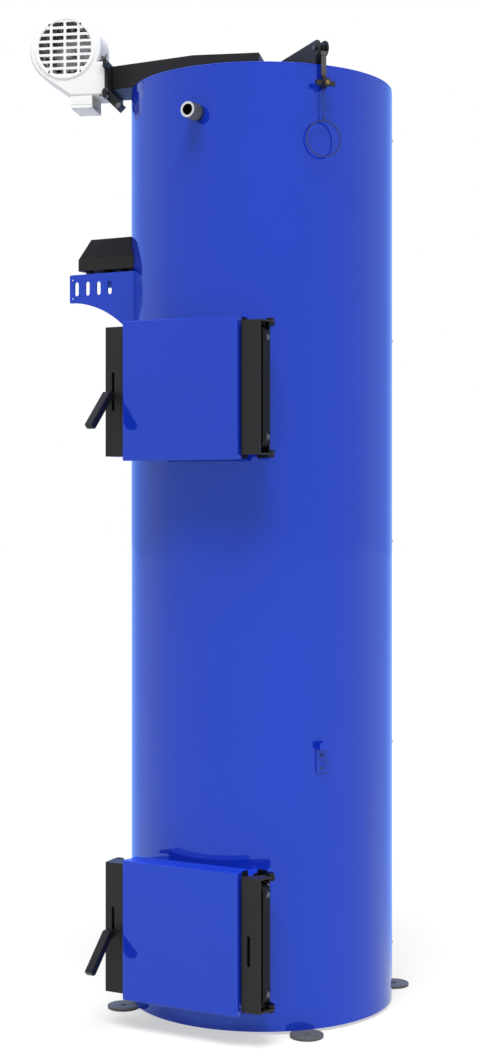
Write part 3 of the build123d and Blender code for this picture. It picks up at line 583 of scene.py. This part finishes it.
def makeCasing():
    windows = []
    for neck in ("lower_door_neck", "upper_door_neck"):
        low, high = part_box(neck)
        windows.append((*frontTurns(high.x), low.z, high.z))
    angles, rows = casingGrid(windows)
    bm = bmesh.new()
    grid = [[bm.verts.new((bodyRadius * math.cos(a), bodyRadius * math.sin(a), z)) for a in angles]
            for z in rows]
    for k in range(len(rows) - 1):
        for i in range(len(angles)):
            j = (i + 1) % len(angles)
            a = angles[i] + 0.5 * ((angles[j] - angles[i]) % (2 * math.pi))
            z = (rows[k] + rows[k + 1]) / 2
            if any(w[0] < a < w[1] and w[2] < z < w[3] for w in windows):
                continue
            bm.faces.new((grid[k][i], grid[k][j], grid[k + 1][j], grid[k + 1][i]))
    loose = [v for v in bm.verts if not v.link_faces]
    bmesh.ops.delete(bm, geom=loose, context="VERTS")
    shell = makePiece("casingSheet", bm, blueGlossPowder, "root", ("outer_casing",),
                      sharpDegrees=40)
    wall = shell.modifiers.new("wall", "SOLIDIFY")
    wall.thickness = casing["wallMm"] * mm
    wall.offset = -1
    cutFlueHole(shell)
    # The studio's matt surfaces take no blue light from the big sheet: the photograph has none
    shell.visible_diffuse = False


def cutFlueHole(shell):
    low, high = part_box("flue_spigot")
    radius = (high.x - low.x) / 2
    start, length = casing["cutFromMm"] * mm, casing["cutLengthMm"] * mm
    cutter = bmesh.new()
    addTurned(cutter, along((0, start, (low.z + high.z) / 2), (0, 1, 0)),
              [(0, 0), (radius, 0), (radius, length), (0, length)], casing["cutSegments"])
    bmesh.ops.recalc_face_normals(cutter, faces=cutter.faces)
    tool = bpy.data.meshes.new("flueCutter")
    cutter.to_mesh(tool)
    cutter.free()
    drill = bpy.data.objects.new("flueCutter", tool)
    bpy.context.scene.collection.objects.link(drill)
    cut = shell.modifiers.new("flueHole", "BOOLEAN")
    cut.object = drill
    cut.solver = "EXACT"
    applyModifiers(shell)
    bpy.data.objects.remove(drill)


def applyModifiers(piece, sharpDegrees=40):
    bpy.context.view_layer.update()
    evaluated = piece.evaluated_get(bpy.context.evaluated_depsgraph_get())
    mesh = bpy.data.meshes.new_from_object(evaluated)
    piece.modifiers.clear()
    piece.data = mesh
    mesh.shade_smooth()
    mesh.set_sharp_from_angle(angle=math.radians(sharpDegrees))


def makeSeam():
    heading = math.radians(casing["seamHeading"])
    half = casing["seamWidthMm"] * mm / 2 / bodyRadius
    lift = casing["seamLiftMm"] * mm
    steps = casing["seamSteps"]
    turns = [heading - half + 2 * half * i / steps for i in range(steps + 1)]
    outline = [((bodyRadius + lift) * math.cos(a), (bodyRadius + lift) * math.sin(a)) for a in turns]
    outline += [((bodyRadius - lift) * math.cos(a), (bodyRadius - lift) * math.sin(a)) for a in turns[::-1]]
    bm = bmesh.new()
    addPrism(bm, Matrix.Translation((0, 0, casingLow.z)), outline, casingHigh.z - casingLow.z)
    makePiece("casingSeam", bm, blueGlossPowder, "root", bevelMm=0.35, sharpDegrees=50)
    bm = bmesh.new()
    outwards = Vector((math.cos(heading), math.sin(heading), 0))
    for level in casing["rivetLevelsMm"]:
        place = outwards * (bodyRadius + lift) + Vector((0, 0, level * mm))
        addDome(bm, along(place, outwards), casing["rivetRadiusMm"] * mm, casing["rivetHeightMm"] * mm)
    makePiece("casingRivets", bm, zincPlatedSteel, "root", sharpDegrees=50)


lid = {"edgeRadiusMm": 2.5, "edgeSteps": 5, "jointMm": 0.8, "segments": 288}


def makeLid():
    low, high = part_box("casing_lid")
    edge = lid["edgeRadiusMm"] * mm
    joint = lid["jointMm"] * mm
    profile = [(0, low.z), (bodyRadius - edge, low.z), (bodyRadius - joint, low.z + joint)]
    for i in range(lid["edgeSteps"] + 1):
        a = math.pi / 2 * i / lid["edgeSteps"]
        profile.append((bodyRadius - edge + edge * math.cos(a), high.z - edge + edge * math.sin(a)))
    profile.append((0, high.z))
    bm = bmesh.new()
    addTurned(bm, Matrix.Identity(4), profile, lid["segments"])
    makePiece("lidSheet", bm, blueGlossPowder, "root", ("casing_lid",), sharpDegrees=50)


weld = {"radiusMm": 1.6, "stepMm": 5}


def makeNeckWeld(side):
    # Bead that joins the neck to the round sheet, on the sheet's own curve
    low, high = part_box(f"{side}_door_neck")
    corners = [(low.x, low.z), (high.x, low.z), (high.x, high.z), (low.x, high.z)]
    points = []
    for (x0, z0), (x1, z1) in zip(corners, corners[1:] + corners[:1]):
        steps = round(math.hypot(x1 - x0, z1 - z0) / (weld["stepMm"] * mm))
        for i in range(steps):
            x = x0 + (x1 - x0) * i / steps
            z = z0 + (z1 - z0) * i / steps
            points.append((x, -math.sqrt(bodyRadius ** 2 - x ** 2), z))
    bm = bmesh.new()
    addLoop(bm, points, weld["radiusMm"] * mm, segments=8)
    makePiece(f"{side}NeckWeld", bm, blueGlossPowder, "root", sharpDegrees=60)


makeCasing()
makeSeam()
makeLid()
makeNeckWeld("lower")
makeNeckWeld("upper")
paintNode("base_plate", blueGlossPowder)
paintNode("water_jacket", sootedPlate)
dressNode("feet", "anchorFeet", dullStrip, "root", bevelMm=1.2)
print("body is made")


# Doors: sheet metal with rounded folds
doors = {"lower": "lower_door", "upper": "upper_door"}
door = {"foldMm": 2.0, "channelFoldMm": 1.12, "leafEdgeMm": 2.0, "neckEdgeMm": 1.5, "mouthMm": 112.2}
seal = {"coreMm": 2.0, "widthMm": 10, "strands": 5, "strandRadiusMm": 0.8, "swingMm": 3.7, "liftMm": 0.15,
        "pitchMm": 26, "cornerMm": 6, "cornerSteps": 5, "stepMm": 2.4}
hinge = {"plateFrontMm": -281.5, "angleMm": 3, "angleHalfMm": 131, "angleSinkMm": 0.5, "angleShortMm": 1.5,
         "angleOverlapMm": 1, "boltMm": 8, "boltX": 156.5, "boltHeights": (109, -98)}
leafBolt = {"sizeMm": 6.5, "headMm": 3, "depth": 13, "heights": (98, -97)}
stud = {"spreadMm": 75, "washerMm": 9, "washerHeightMm": 1.2, "nutMm": 9.9, "nutHeightMm": 5, "segments": 16,
        "endMm": [(0, 0), (3, 0), (3, 7.4), (2.4, 8), (0, 8)]}


def ropePath(low, high):
    # Rounded square along the middle of the seal, with the sideways direction at each point
    inset = seal["widthMm"] * mm / 2
    corner = seal["cornerMm"] * mm
    middle = (low.z + high.z) / 2
    halfX = high.x - inset - corner
    halfZ = (high.z - low.z) / 2 - inset - corner
    line = []
    for index, (sx, sz) in enumerate(((1, 1), (-1, 1), (-1, -1), (1, -1))):
        for k in range(seal["cornerSteps"]):
            a = math.pi / 2 * (index + k / seal["cornerSteps"])
            out = Vector((math.cos(a), 0, math.sin(a)))
            line.append((Vector((sx * halfX, 0, middle + sz * halfZ)) + corner * out, out))
    points = []
    for (a, outA), (b, outB) in zip(line, line[1:] + line[:1]):
        steps = max(1, round((b - a).length / (seal["stepMm"] * mm)))
        for i in range(steps):
            share = i / steps
            points.append((a.lerp(b, share), outA.lerp(outB, share).normalized()))
    return points


def makeSeal(side, body):
    low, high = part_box(f"{side}_door_seal")
    top = low.y + seal["coreMm"] * mm

    def press(vertex):
        vertex.co.y = min(vertex.co.y, top)

    dressNode(f"{side}_door_seal", f"{side}SealCore", glassFibreRope, body, bevelMm=0.3,
              reshape=press)
    points = ropePath(low, high)
    length = sum((b[0] - a[0]).length for a, b in zip(points, points[1:] + points[:1]))
    waves = round(length / (seal["pitchMm"] * mm))
    bm = bmesh.new()
    for strand in range(seal["strands"]):
        route = []
        for i, (point, out) in enumerate(points):
            turn = 2 * math.pi * (waves * i / len(points) + strand / seal["strands"])
            depth = top + seal["liftMm"] * mm * math.sin(2 * turn)
            route.append(Vector((point.x, depth, point.z)) + out * (seal["swingMm"] * mm * math.sin(turn)))
        addLoop(bm, route, seal["strandRadiusMm"] * mm, segments=6)
    makePiece(f"{side}SealBraid", bm, glassFibreRope, body, sharpDegrees=60)


def makeHingeAngle(side, level):
    # Bolts through the hinge's plate, and the second leg of its angle iron, flat on the side of the neck
    low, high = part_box(f"{side}_door_neck")
    front = hinge["plateFrontMm"] * mm
    bm = bmesh.new()
    for height in hinge["boltHeights"]:
        place = (hinge["boltX"] * mm, front, level + height * mm)
        addBolt(bm, along(place, (0, -1, 0), 0.3), hinge["boltMm"] * mm)
    makePiece(f"{side}HingeBolts", bm, zincPlatedSteel, "root", sharpDegrees=30)
    depth = front - low.y - hinge["angleShortMm"] * mm
    overlap = hinge["angleOverlapMm"] * mm
    thickness, reach = hinge["angleMm"] * mm, hinge["angleHalfMm"] * mm
    x0, x1 = high.x - hinge["angleSinkMm"] * mm, high.x + thickness
    outline = [(x0, level - reach), (x1, level - reach), (x1, level + reach), (x0, level + reach)]
    towardsDoor = Matrix(((1, 0, 0, 0), (0, 0, -1, front + overlap), (0, 1, 0, 0), (0, 0, 0, 1)))
    bm = bmesh.new()
    addPrism(bm, towardsDoor, outline, depth + overlap)
    makePiece(f"{side}HingeAngle", bm, mattBlackPowder, "root", bevelMm=0.8)


def makeLeafBolts(side, body, level):
    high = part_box(f"{side}_door_leaf")[1]
    bm = bmesh.new()
    for height in leafBolt["heights"]:
        place = (high.x, high.y - leafBolt["depth"] * mm, level + height * mm)
        addBolt(bm, along(place, (1, 0, 0), 0.5), leafBolt["sizeMm"] * mm, leafBolt["headMm"] * mm)
    makePiece(f"{side}LeafBolts", bm, castZinc, body, sharpDegrees=30)


def makeLinerStuds(side, body, level):
    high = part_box(f"{side}_door_liner")[1]
    spread = stud["spreadMm"] * mm
    washer = stud["washerHeightMm"] * mm
    bm = bmesh.new()
    for x in (-spread, spread):
        for z in (-spread, spread):
            place = along((x, high.y, level + z), (0, 1, 0), 0.2)
            addWasher(bm, place, stud["washerMm"] * mm, washer)
            addHex(bm, place @ Matrix.Translation((0, 0, washer)), stud["nutMm"] * mm,
                   stud["nutHeightMm"] * mm)
            addTurned(bm, place, inMetres(stud["endMm"]), stud["segments"])
    makePiece(f"{side}LinerStuds", bm, darkSteel, body, sharpDegrees=30)


def makeDoor(side, body):
    low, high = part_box(f"{side}_door_neck")
    level = (low.z + high.z) / 2
    mouth = door["mouthMm"] * mm
    neck = dressNode(f"{side}_door_neck", f"{side}NeckSheet", blueGlossPowder, "root",
                     door["neckEdgeMm"])
    paintFaces(neck, sootedPlate, lambda c, n: abs(c.x) < mouth and abs(c.z - level) < mouth)
    dressNode(f"{side}_door_cover", f"{side}CoverSheet", blueGlossPowder, body,
              door["foldMm"], segments=3)
    for node, name in (("latch_channel", "LatchChannel"), ("hinge_channel", "HingeChannel")):
        dressNode(f"{side}_{node}", side + name, blackSatinPowder, body,
                  door["channelFoldMm"], segments=3)
    dressNode(f"{side}_door_leaf", f"{side}LeafPlate", mattBlackPowder, body,
              door["leafEdgeMm"])
    dressNode(f"{side}_door_hinge", f"{side}HingeLugs", darkSteel, "root", bevelMm=0.8)
    dressNode(f"{side}_latch_keeper", f"{side}KeeperPin", darkSteel, "root", bevelMm=0.8)
    paintNode(f"{side}_door_liner", vermiculiteBoard)
    makeSeal(side, body)
    makeHingeAngle(side, level)
    makeLeafBolts(side, body, level)
    makeLinerStuds(side, body, level)
    dressNode(f"{side}_handle", f"{side}HandleLever", blackOxideBar, f"{side}_lever",
              bevelMm=1.6, segments=3)


for side, body in doors.items():
    makeDoor(side, body)
print("doors are hung")

# Pipe ends: turned steel with a thread and a dark bore. Lengths are from the middle of the body
pipe = {"rootMm": 276.7, "shoulderMm": 288, "threadMm": 291, "tipMm": 319, "crestMm": 16.85, "valleyMm": 15.5,
        "reliefMm": 15.85, "pitchMm": 2.31, "boreMm": 11, "boreEndMm": 278.7, "edgeMm": 0.8, "segments": 64,
        "threadShares": (0.4, 0.55, 0.95)}


def makePipeEnd(node, name, direction):
    low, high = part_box(node)
    crest, valley, relief, bore = (pipe[key] * mm for key in ("crestMm", "valleyMm", "reliefMm", "boreMm"))
    root, shoulder, thread, tip = (pipe[key] * mm for key in ("rootMm", "shoulderMm", "threadMm", "tipMm"))
    edge = pipe["edgeMm"] * mm
    pitch = pipe["pitchMm"] * mm
    profile = [(0, root), (crest, root), (crest, shoulder - edge), (relief, shoulder), (relief, thread)]
    rise, fall, foot = (share * pitch for share in pipe["threadShares"])
    at = thread
    while at + pitch < tip - edge:
        profile += [(crest, at + rise), (crest, at + fall), (valley, at + foot)]
        at += pitch
    profile += [(relief, tip - edge), (relief - edge, tip), (bore + edge, tip), (bore, tip - edge)]
    profile += [(bore, pipe["boreEndMm"] * mm), (0, pipe["boreEndMm"] * mm)]
    bm = bmesh.new()
    middle = (low.z + high.z) / 2
    addTurned(bm, along((0, 0, middle), direction), profile, pipe["segments"])
    piece = makePiece(name, bm, pipeSteelShaded, "root", (node,), sharpDegrees=25)
    inner = bore + 0.1 * mm
    last = tip - edge
    # The end faces keep the bright steel; the rest is its darker copy, painted shade
    paintFaces(piece, turnedSteel, lambda c, n: abs(c.y) > last)
    # The bore gets the near-black finish: painted shade
    paintFaces(piece, boreShadeBlack, lambda c, n: math.hypot(c.x, c.z - middle) < inner)


makePipeEnd("supply_nipple", "supplyPipeEnd", (0, -1, 0))
makePipeEnd("return_nipple", "returnPipeEnd", (0, 1, 0))
dressNode("sensor_socket", "sensorSocketBoss", turnedSteel, "root", bevelMm=0.6)
dressNode("flue_spigot", "flueSpigotTube", heatProofPaint, "root", bevelMm=0.5,
          sharpDegrees=45)

# Bracket and control box on the left
dressNode("side_bracket", "sideBracketSheet", blueGlossPowder, "root", bevelMm=0.9)
housing = {"feetMm": 6.9, "slope": 0.3}
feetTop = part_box("control_box")[0].z + housing["feetMm"] * mm
controlBox = dressNode("control_box", "controlBoxCase", blackHousing, "root",
                       bevelMm=2.2, segments=3)
# The faces that look forwards and up get the darker plastic: painted shade
paintFaces(controlBox, shadedSlopeHousing, lambda c, n: n.y < -housing["slope"] and n.z > housing["slope"])
paintFaces(controlBox, blackRubber, lambda c, n: c.z < feetTop)
dressNode("ring_hook", "ringHookSheet", blueGlossPowder, "root", bevelMm=0.9)
hook = {"heading": -36.8, "plateMm": 283.2, "screwLevelsMm": (530, 556), "washerMm": (2.73, 0.8),
        "domeMm": (2.34, 1.8)}


def makeHookScrews():
    a = math.radians(hook["heading"])
    outwards = Vector((math.cos(a), math.sin(a), 0))
    bm = bmesh.new()
    for level in hook["screwLevelsMm"]:
        place = along(outwards * hook["plateMm"] * mm + Vector((0, 0, level * mm)), outwards)
        addWasher(bm, place, *(value * mm for value in hook["washerMm"]))
        addDome(bm, place, *(value * mm for value in hook["domeMm"]))
    makePiece("hookScrews", bm, darkSteel, "root", sharpDegrees=40)


makeHookScrews()
print("side fittings are made")

# Air duct and fan. Their own frame: X along the duct towards the fan, Y to the front, Z up from the lid
fan = {
    "heading": 199.3, "centre": (423, 102), "front": 52, "lipMm": 65, "rimInnerMm": 60.8, "rimOuterMm": 71.5,
    "rimHeightMm": 1.8, "rimEdgeMm": 1.5, "rimEdgeShare": 0.85, "rimSinkMm": 1, "rimSteps": 6,
    "grilleShiftMm": 3.3, "screwCircleMm": 62, "screwAngles": (56, 124, 236, 304), "screwMm": 2.1,
    "screwSinkMm": 0.1, "screwHeightShare": 0.6, "motorBack": -98, "motorScrewCircleMm": 28,
    "motorScrewAngles": (45, 135, 225, 315), "motorScrewMm": 3,
}
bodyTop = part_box("casing_lid")[1].z
ductPlace = Matrix.Translation((0, 0, bodyTop)) @ Matrix.Rotation(math.radians(fan["heading"]), 4, "Z")


def onDuct(x, y, z):
    return ductPlace @ Vector((x * mm, y * mm, z * mm))


def ductDirection(x, y, z):
    return (ductPlace.to_3x3() @ Vector((x, y, z))).normalized()


def makeGrilleRim():
    # Soft swelling that carries the casing over into the grille
    inner, outer, lip, top, edge = (fan[key] * mm for key in (
        "rimInnerMm", "rimOuterMm", "lipMm", "rimHeightMm", "rimEdgeMm"))
    sunk = -fan["rimSinkMm"] * mm
    profile = [(inner, sunk), (inner, top * fan["rimEdgeShare"]), (inner + edge, top), (lip, top)]
    for i in range(1, fan["rimSteps"] + 1):
        share = i / fan["rimSteps"]
        ease = 0.5 + 0.5 * math.cos(math.pi * share)
        profile.append((lip + (outer - lip) * share, top * ease))
    profile += [(outer, sunk), (inner, sunk)]
    bm = bmesh.new()
    x, z = fan["centre"]
    place = along(onDuct(x, fan["front"], z), ductDirection(0, 1, 0))
    addTurned(bm, place, profile, segments=96)
    makePiece("grilleRim", bm, whitePowder, "root", sharpDegrees=60)


def addFanScrews(bm, circle, angles, size, y, towards):
    x, z = fan["centre"]
    for degrees in angles:
        a = math.radians(degrees)
        place = onDuct(x + circle * math.cos(a), y, z + circle * math.sin(a))
        addDome(bm, along(place, ductDirection(0, towards, 0)), size * mm,
                size * fan["screwHeightShare"] * mm, segments=16)


def makeFanScrews():
    bm = bmesh.new()
    addFanScrews(bm, fan["screwCircleMm"], fan["screwAngles"], fan["screwMm"],
                 fan["front"] + fan["rimHeightMm"] - fan["screwSinkMm"], 1)
    makePiece("grilleScrews", bm, darkSteel, "root", sharpDegrees=40)
    bm = bmesh.new()
    addFanScrews(bm, fan["motorScrewCircleMm"], fan["motorScrewAngles"], fan["motorScrewMm"],
                 fan["motorBack"], -1)
    makePiece("motorScrews", bm, zincPlatedSteel, "root", sharpDegrees=40)


# Wing nuts: half outlines in millimetres, from the axis outwards and up
clamps = {
    "y": 62.5, "upper": (333, 70), "lower": (331, -4), "axis": (0.61, 0.0, 0.79), "wingMm": 2.8,
    "hub": [(0, 0), (5.6, 0), (5.6, 1.2), (5, 2), (4.4, 7.4), (3.9, 8), (2.4, 8), (2.4, 6.8), (0, 6.8)],
    "wing": [(3.6, 0.8), (6.0, 1.0), (9.2, 2.8), (11.155, 4.6), (11.5, 6.6), (10.925, 7.8), (9.43, 7.4),
             (7.13, 5.4), (3.6, 5.4)],
    "bolt": [(0, -11), (3, -11), (3, 9.4), (2.25, 10), (0, 10)],
    "boltEndMm": -11, "boltHeadMm": 10, "boltHeadHeightMm": 4,
}


def addWingNut(bm, place):
    # Round hub and two curved wings that rise from it
    addTurned(bm, place, inMetres(clamps["hub"]), segments=24)
    thickness = clamps["wingMm"] * mm
    for turn in (0, math.pi):
        side = place @ Matrix.Rotation(turn, 4, "Z") @ Matrix.Translation((0, thickness / 2, 0))
        side = side @ Matrix.Rotation(math.radians(90), 4, "X")
        addPrism(bm, side, inMetres(clamps["wing"]), thickness)


def makeClamps():
    direction = ductDirection(*clamps["axis"])
    sideways = ductDirection(0, 1, 0)
    rotation = Matrix((direction.cross(sideways) * -1, sideways, direction)).transposed().to_4x4()
    bm = bmesh.new()
    for x, z in (clamps["upper"], clamps["lower"]):
        place = Matrix.Translation(onDuct(x, clamps["y"], z)) @ rotation
        addWingNut(bm, place)
        addTurned(bm, place, inMetres(clamps["bolt"]), segments=16)
        addHex(bm, place @ Matrix.Translation((0, 0, clamps["boltEndMm"] * mm)), clamps["boltHeadMm"] * mm,
               clamps["boltHeadHeightMm"] * mm)
    makePiece("fanWingNuts", bm, castZinc, "root", ("fan_wing_bolts",), bevelMm=0.35,
              sharpDegrees=30)


clampBar = {"lengthMm": 47, "widthMm": 26, "depthMm": 17, "sheetMm": 3, "endMm": 2.7, "boltMm": 7,
            "boltFromEndMm": 7}


def makeClampBar():
    # Folded channel, its back to the front, with the bolt of its lower end
    low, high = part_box("fan_clamp_strap")
    lengthwise = ductDirection(-1, 0, -1)
    sideways = ductDirection(0, 1, 0)
    upwards = lengthwise.cross(sideways)
    rotation = Matrix((lengthwise, sideways, upwards)).transposed().to_4x4()
    place = Matrix.Translation((low + high) / 2) @ rotation
    length, wide, deep = (clampBar[key] * mm / 2 for key in ("lengthMm", "widthMm", "depthMm"))
    sheet = clampBar["sheetMm"] * mm
    web = wide - sheet
    section = [(wide, deep), (wide, -deep), (-wide, -deep), (-wide, sheet - deep), (web, sheet - deep),
               (web, deep - sheet), (-wide, deep - sheet), (-wide, deep)]
    endPlate = [(-wide, -deep), (web, -deep), (web, deep), (-wide, deep)]
    turned = Matrix(((0, 0, 1, -length), (1, 0, 0, 0), (0, 1, 0, 0), (0, 0, 0, 1)))
    bm = bmesh.new()
    addPrism(bm, place @ turned, section, 2 * length)
    addPrism(bm, place @ turned @ Matrix.Translation((0, 0, 2 * length - sheet)), endPlate,
             clampBar["endMm"] * mm)
    makePiece("clampChannel", bm, blackSatinPowder, "root", ("fan_clamp_strap",),
              bevelMm=0.8)
    bm = bmesh.new()
    end = place @ Matrix.Translation((length - clampBar["boltFromEndMm"] * mm, wide, 0))
    addBolt(bm, end @ Matrix.Rotation(math.radians(-90), 4, "X"), clampBar["boltMm"] * mm)
    makePiece("clampChannelBolt", bm, castZinc, "root", sharpDegrees=30)


cableBox = {"x": (362.5, 410), "y": (-30, 52), "z": (-29, -3), "jointMm": 7, "grooveMm": 0.7,
            "screwInsetMm": 6, "screwMm": (2.6, 1.4)}


def makeCableBox():
    # White box with a lid below: two shells with a fine joint between them
    (x0, x1), (y0, y1), (z0, z1) = cableBox["x"], cableBox["y"], cableBox["z"]
    groove = cableBox["grooveMm"]
    split = z0 + cableBox["jointMm"]
    bm = bmesh.new()
    for inset, low, high in ((0, z0, split - groove / 2), (groove, split - groove / 2, split + groove / 2),
                             (0, split + groove / 2, z1)):
        left, right, back, front = x0 + inset, x1 - inset, y0 + inset, y1 - inset
        outline = inMetres([(left, back), (right, back), (right, front), (left, front)])
        addPrism(bm, ductPlace @ Matrix.Translation((0, 0, low * mm)), outline, (high - low) * mm)
    makePiece("fanCableBox", bm, whitePowder, "root", ("fan_foot",), bevelMm=1.1,
              segments=3)
    bm = bmesh.new()
    inset = cableBox["screwInsetMm"]
    radius, height = (value * mm for value in cableBox["screwMm"])
    for x in (x0 + inset, x1 - inset):
        for y in (y0 + inset, y1 - inset):
            addDome(bm, along(onDuct(x, y, z0), (0, 0, -1)), radius, height, segments=16)
    makePiece("cableBoxScrews", bm, zincPlatedSteel, "root", sharpDegrees=40)


dressNode("air_duct", "airDuctSheet", blackSmoothPowder, "root", bevelMm=1.5, segments=3)
dressNode("duct_flange", "ductFlangePlate", blackSmoothPowder, "root", bevelMm=0.8)
dressNode("fan_scroll", "fanScrollCasing", whitePowder, "root", bevelMm=1.6, segments=3)
dressNode("fan_grille", "inletGrille", whitePowder, "root", bevelMm=0.5,
          shift=ductDirection(0, 1, 0) * fan["grilleShiftMm"] * mm)
dressNode("fan_motor", "fanMotorCan", heatProofPaint, "root", bevelMm=0.5)
paintNode("fan_impeller", zincPlatedSteel)
makeGrilleRim()
makeFanScrews()
makeClamps()
makeClampBar()
makeCableBox()

# Pulley arm, clamp, cable and ring. The arm's frame: X outwards along it, Z up from the lid
arm = {
    "heading": -36.8, "pin": (277, 32), "plateMm": 14, "headMm": 8, "headHeightMm": 2.4, "strapMm": 292,
    "strapScrewLevel": 19, "strapScrewMm": (3.6, 2), "knobLevel": -42, "knobFrontMm": 307, "nutMm": 13.75,
    "nutHeightMm": 1.6,
    "core": [(0, -1), (4.4, -1), (4.4, 2.4), (3.52, 3), (1.32, 3), (1.32, 1.8), (0, 1.8)],
}
armPlace = Matrix.Translation((0, 0, bodyTop)) @ Matrix.Rotation(math.radians(arm["heading"]), 4, "Z")


def onArm(x, y, z):
    return armPlace @ Vector((x * mm, y * mm, z * mm))


def armDirection(x, y, z):
    return (armPlace.to_3x3() @ Vector((x, y, z))).normalized()


def makeArmFasteners():
    outwards = armDirection(1, 0, 0)
    x, z = arm["pin"]
    bm = bmesh.new()
    for side in (-1, 1):
        place = along(onArm(x, side * arm["plateMm"], z), armDirection(0, side, 0))
        addHex(bm, place, arm["headMm"] * mm, arm["headHeightMm"] * mm)
    place = along(onArm(arm["strapMm"], 0, arm["strapScrewLevel"]), outwards)
    addDome(bm, place, *(value * mm for value in arm["strapScrewMm"]))
    makePiece("armFasteners", bm, castZinc, "root", sharpDegrees=30)
    place = along(onArm(arm["knobFrontMm"], 0, arm["knobLevel"]), outwards, 0.3)
    bm = bmesh.new()
    addTurned(bm, place, inMetres(arm["core"]), segments=24)
    makePiece("clampScrewCore", bm, turnedBrass, "root", sharpDegrees=30)
    bm = bmesh.new()
    addHex(bm, place, arm["nutMm"] * mm, arm["nutHeightMm"] * mm)
    makePiece("clampScrewNut", bm, blackPhenolic, "root", sharpDegrees=30)


def makeFerrule():
    bm = bmesh.new()
    addTurned(bm, Matrix.Translation(cable["points"][-1]), inMetres(cable["ferrule"]), segments=20)
    # The ferrule wears the blue-tinted wire finish: a painted reflection of the body
    return makePiece("cableFerrule", bm, wireWithPaintedReflection, "root", sharpDegrees=30)


dressNode("pulley_arm", "pulleyArmPlates", blackSatinPowder, "root", bevelMm=0.7)
paintNode("pulley_wheel", darkSteel)
dressNode("cable_strap", "cableStrapStrip", dullStrip, "root", bevelMm=0.4)
dressNode("cable_clamp", "cableClampKnob", blackPhenolic, "root", bevelMm=1.4, segments=3)
makeArmFasteners()
# Cable and ring wear the blue-tinted wire finish: a painted reflection of the body
pullCable.data.materials.append(wireWithPaintedReflection)
paintNode("pull_ring", wireWithPaintedReflection)
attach(pullCable, "root")
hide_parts("pull_cable")
makeFerrule()
print("top fittings are made")
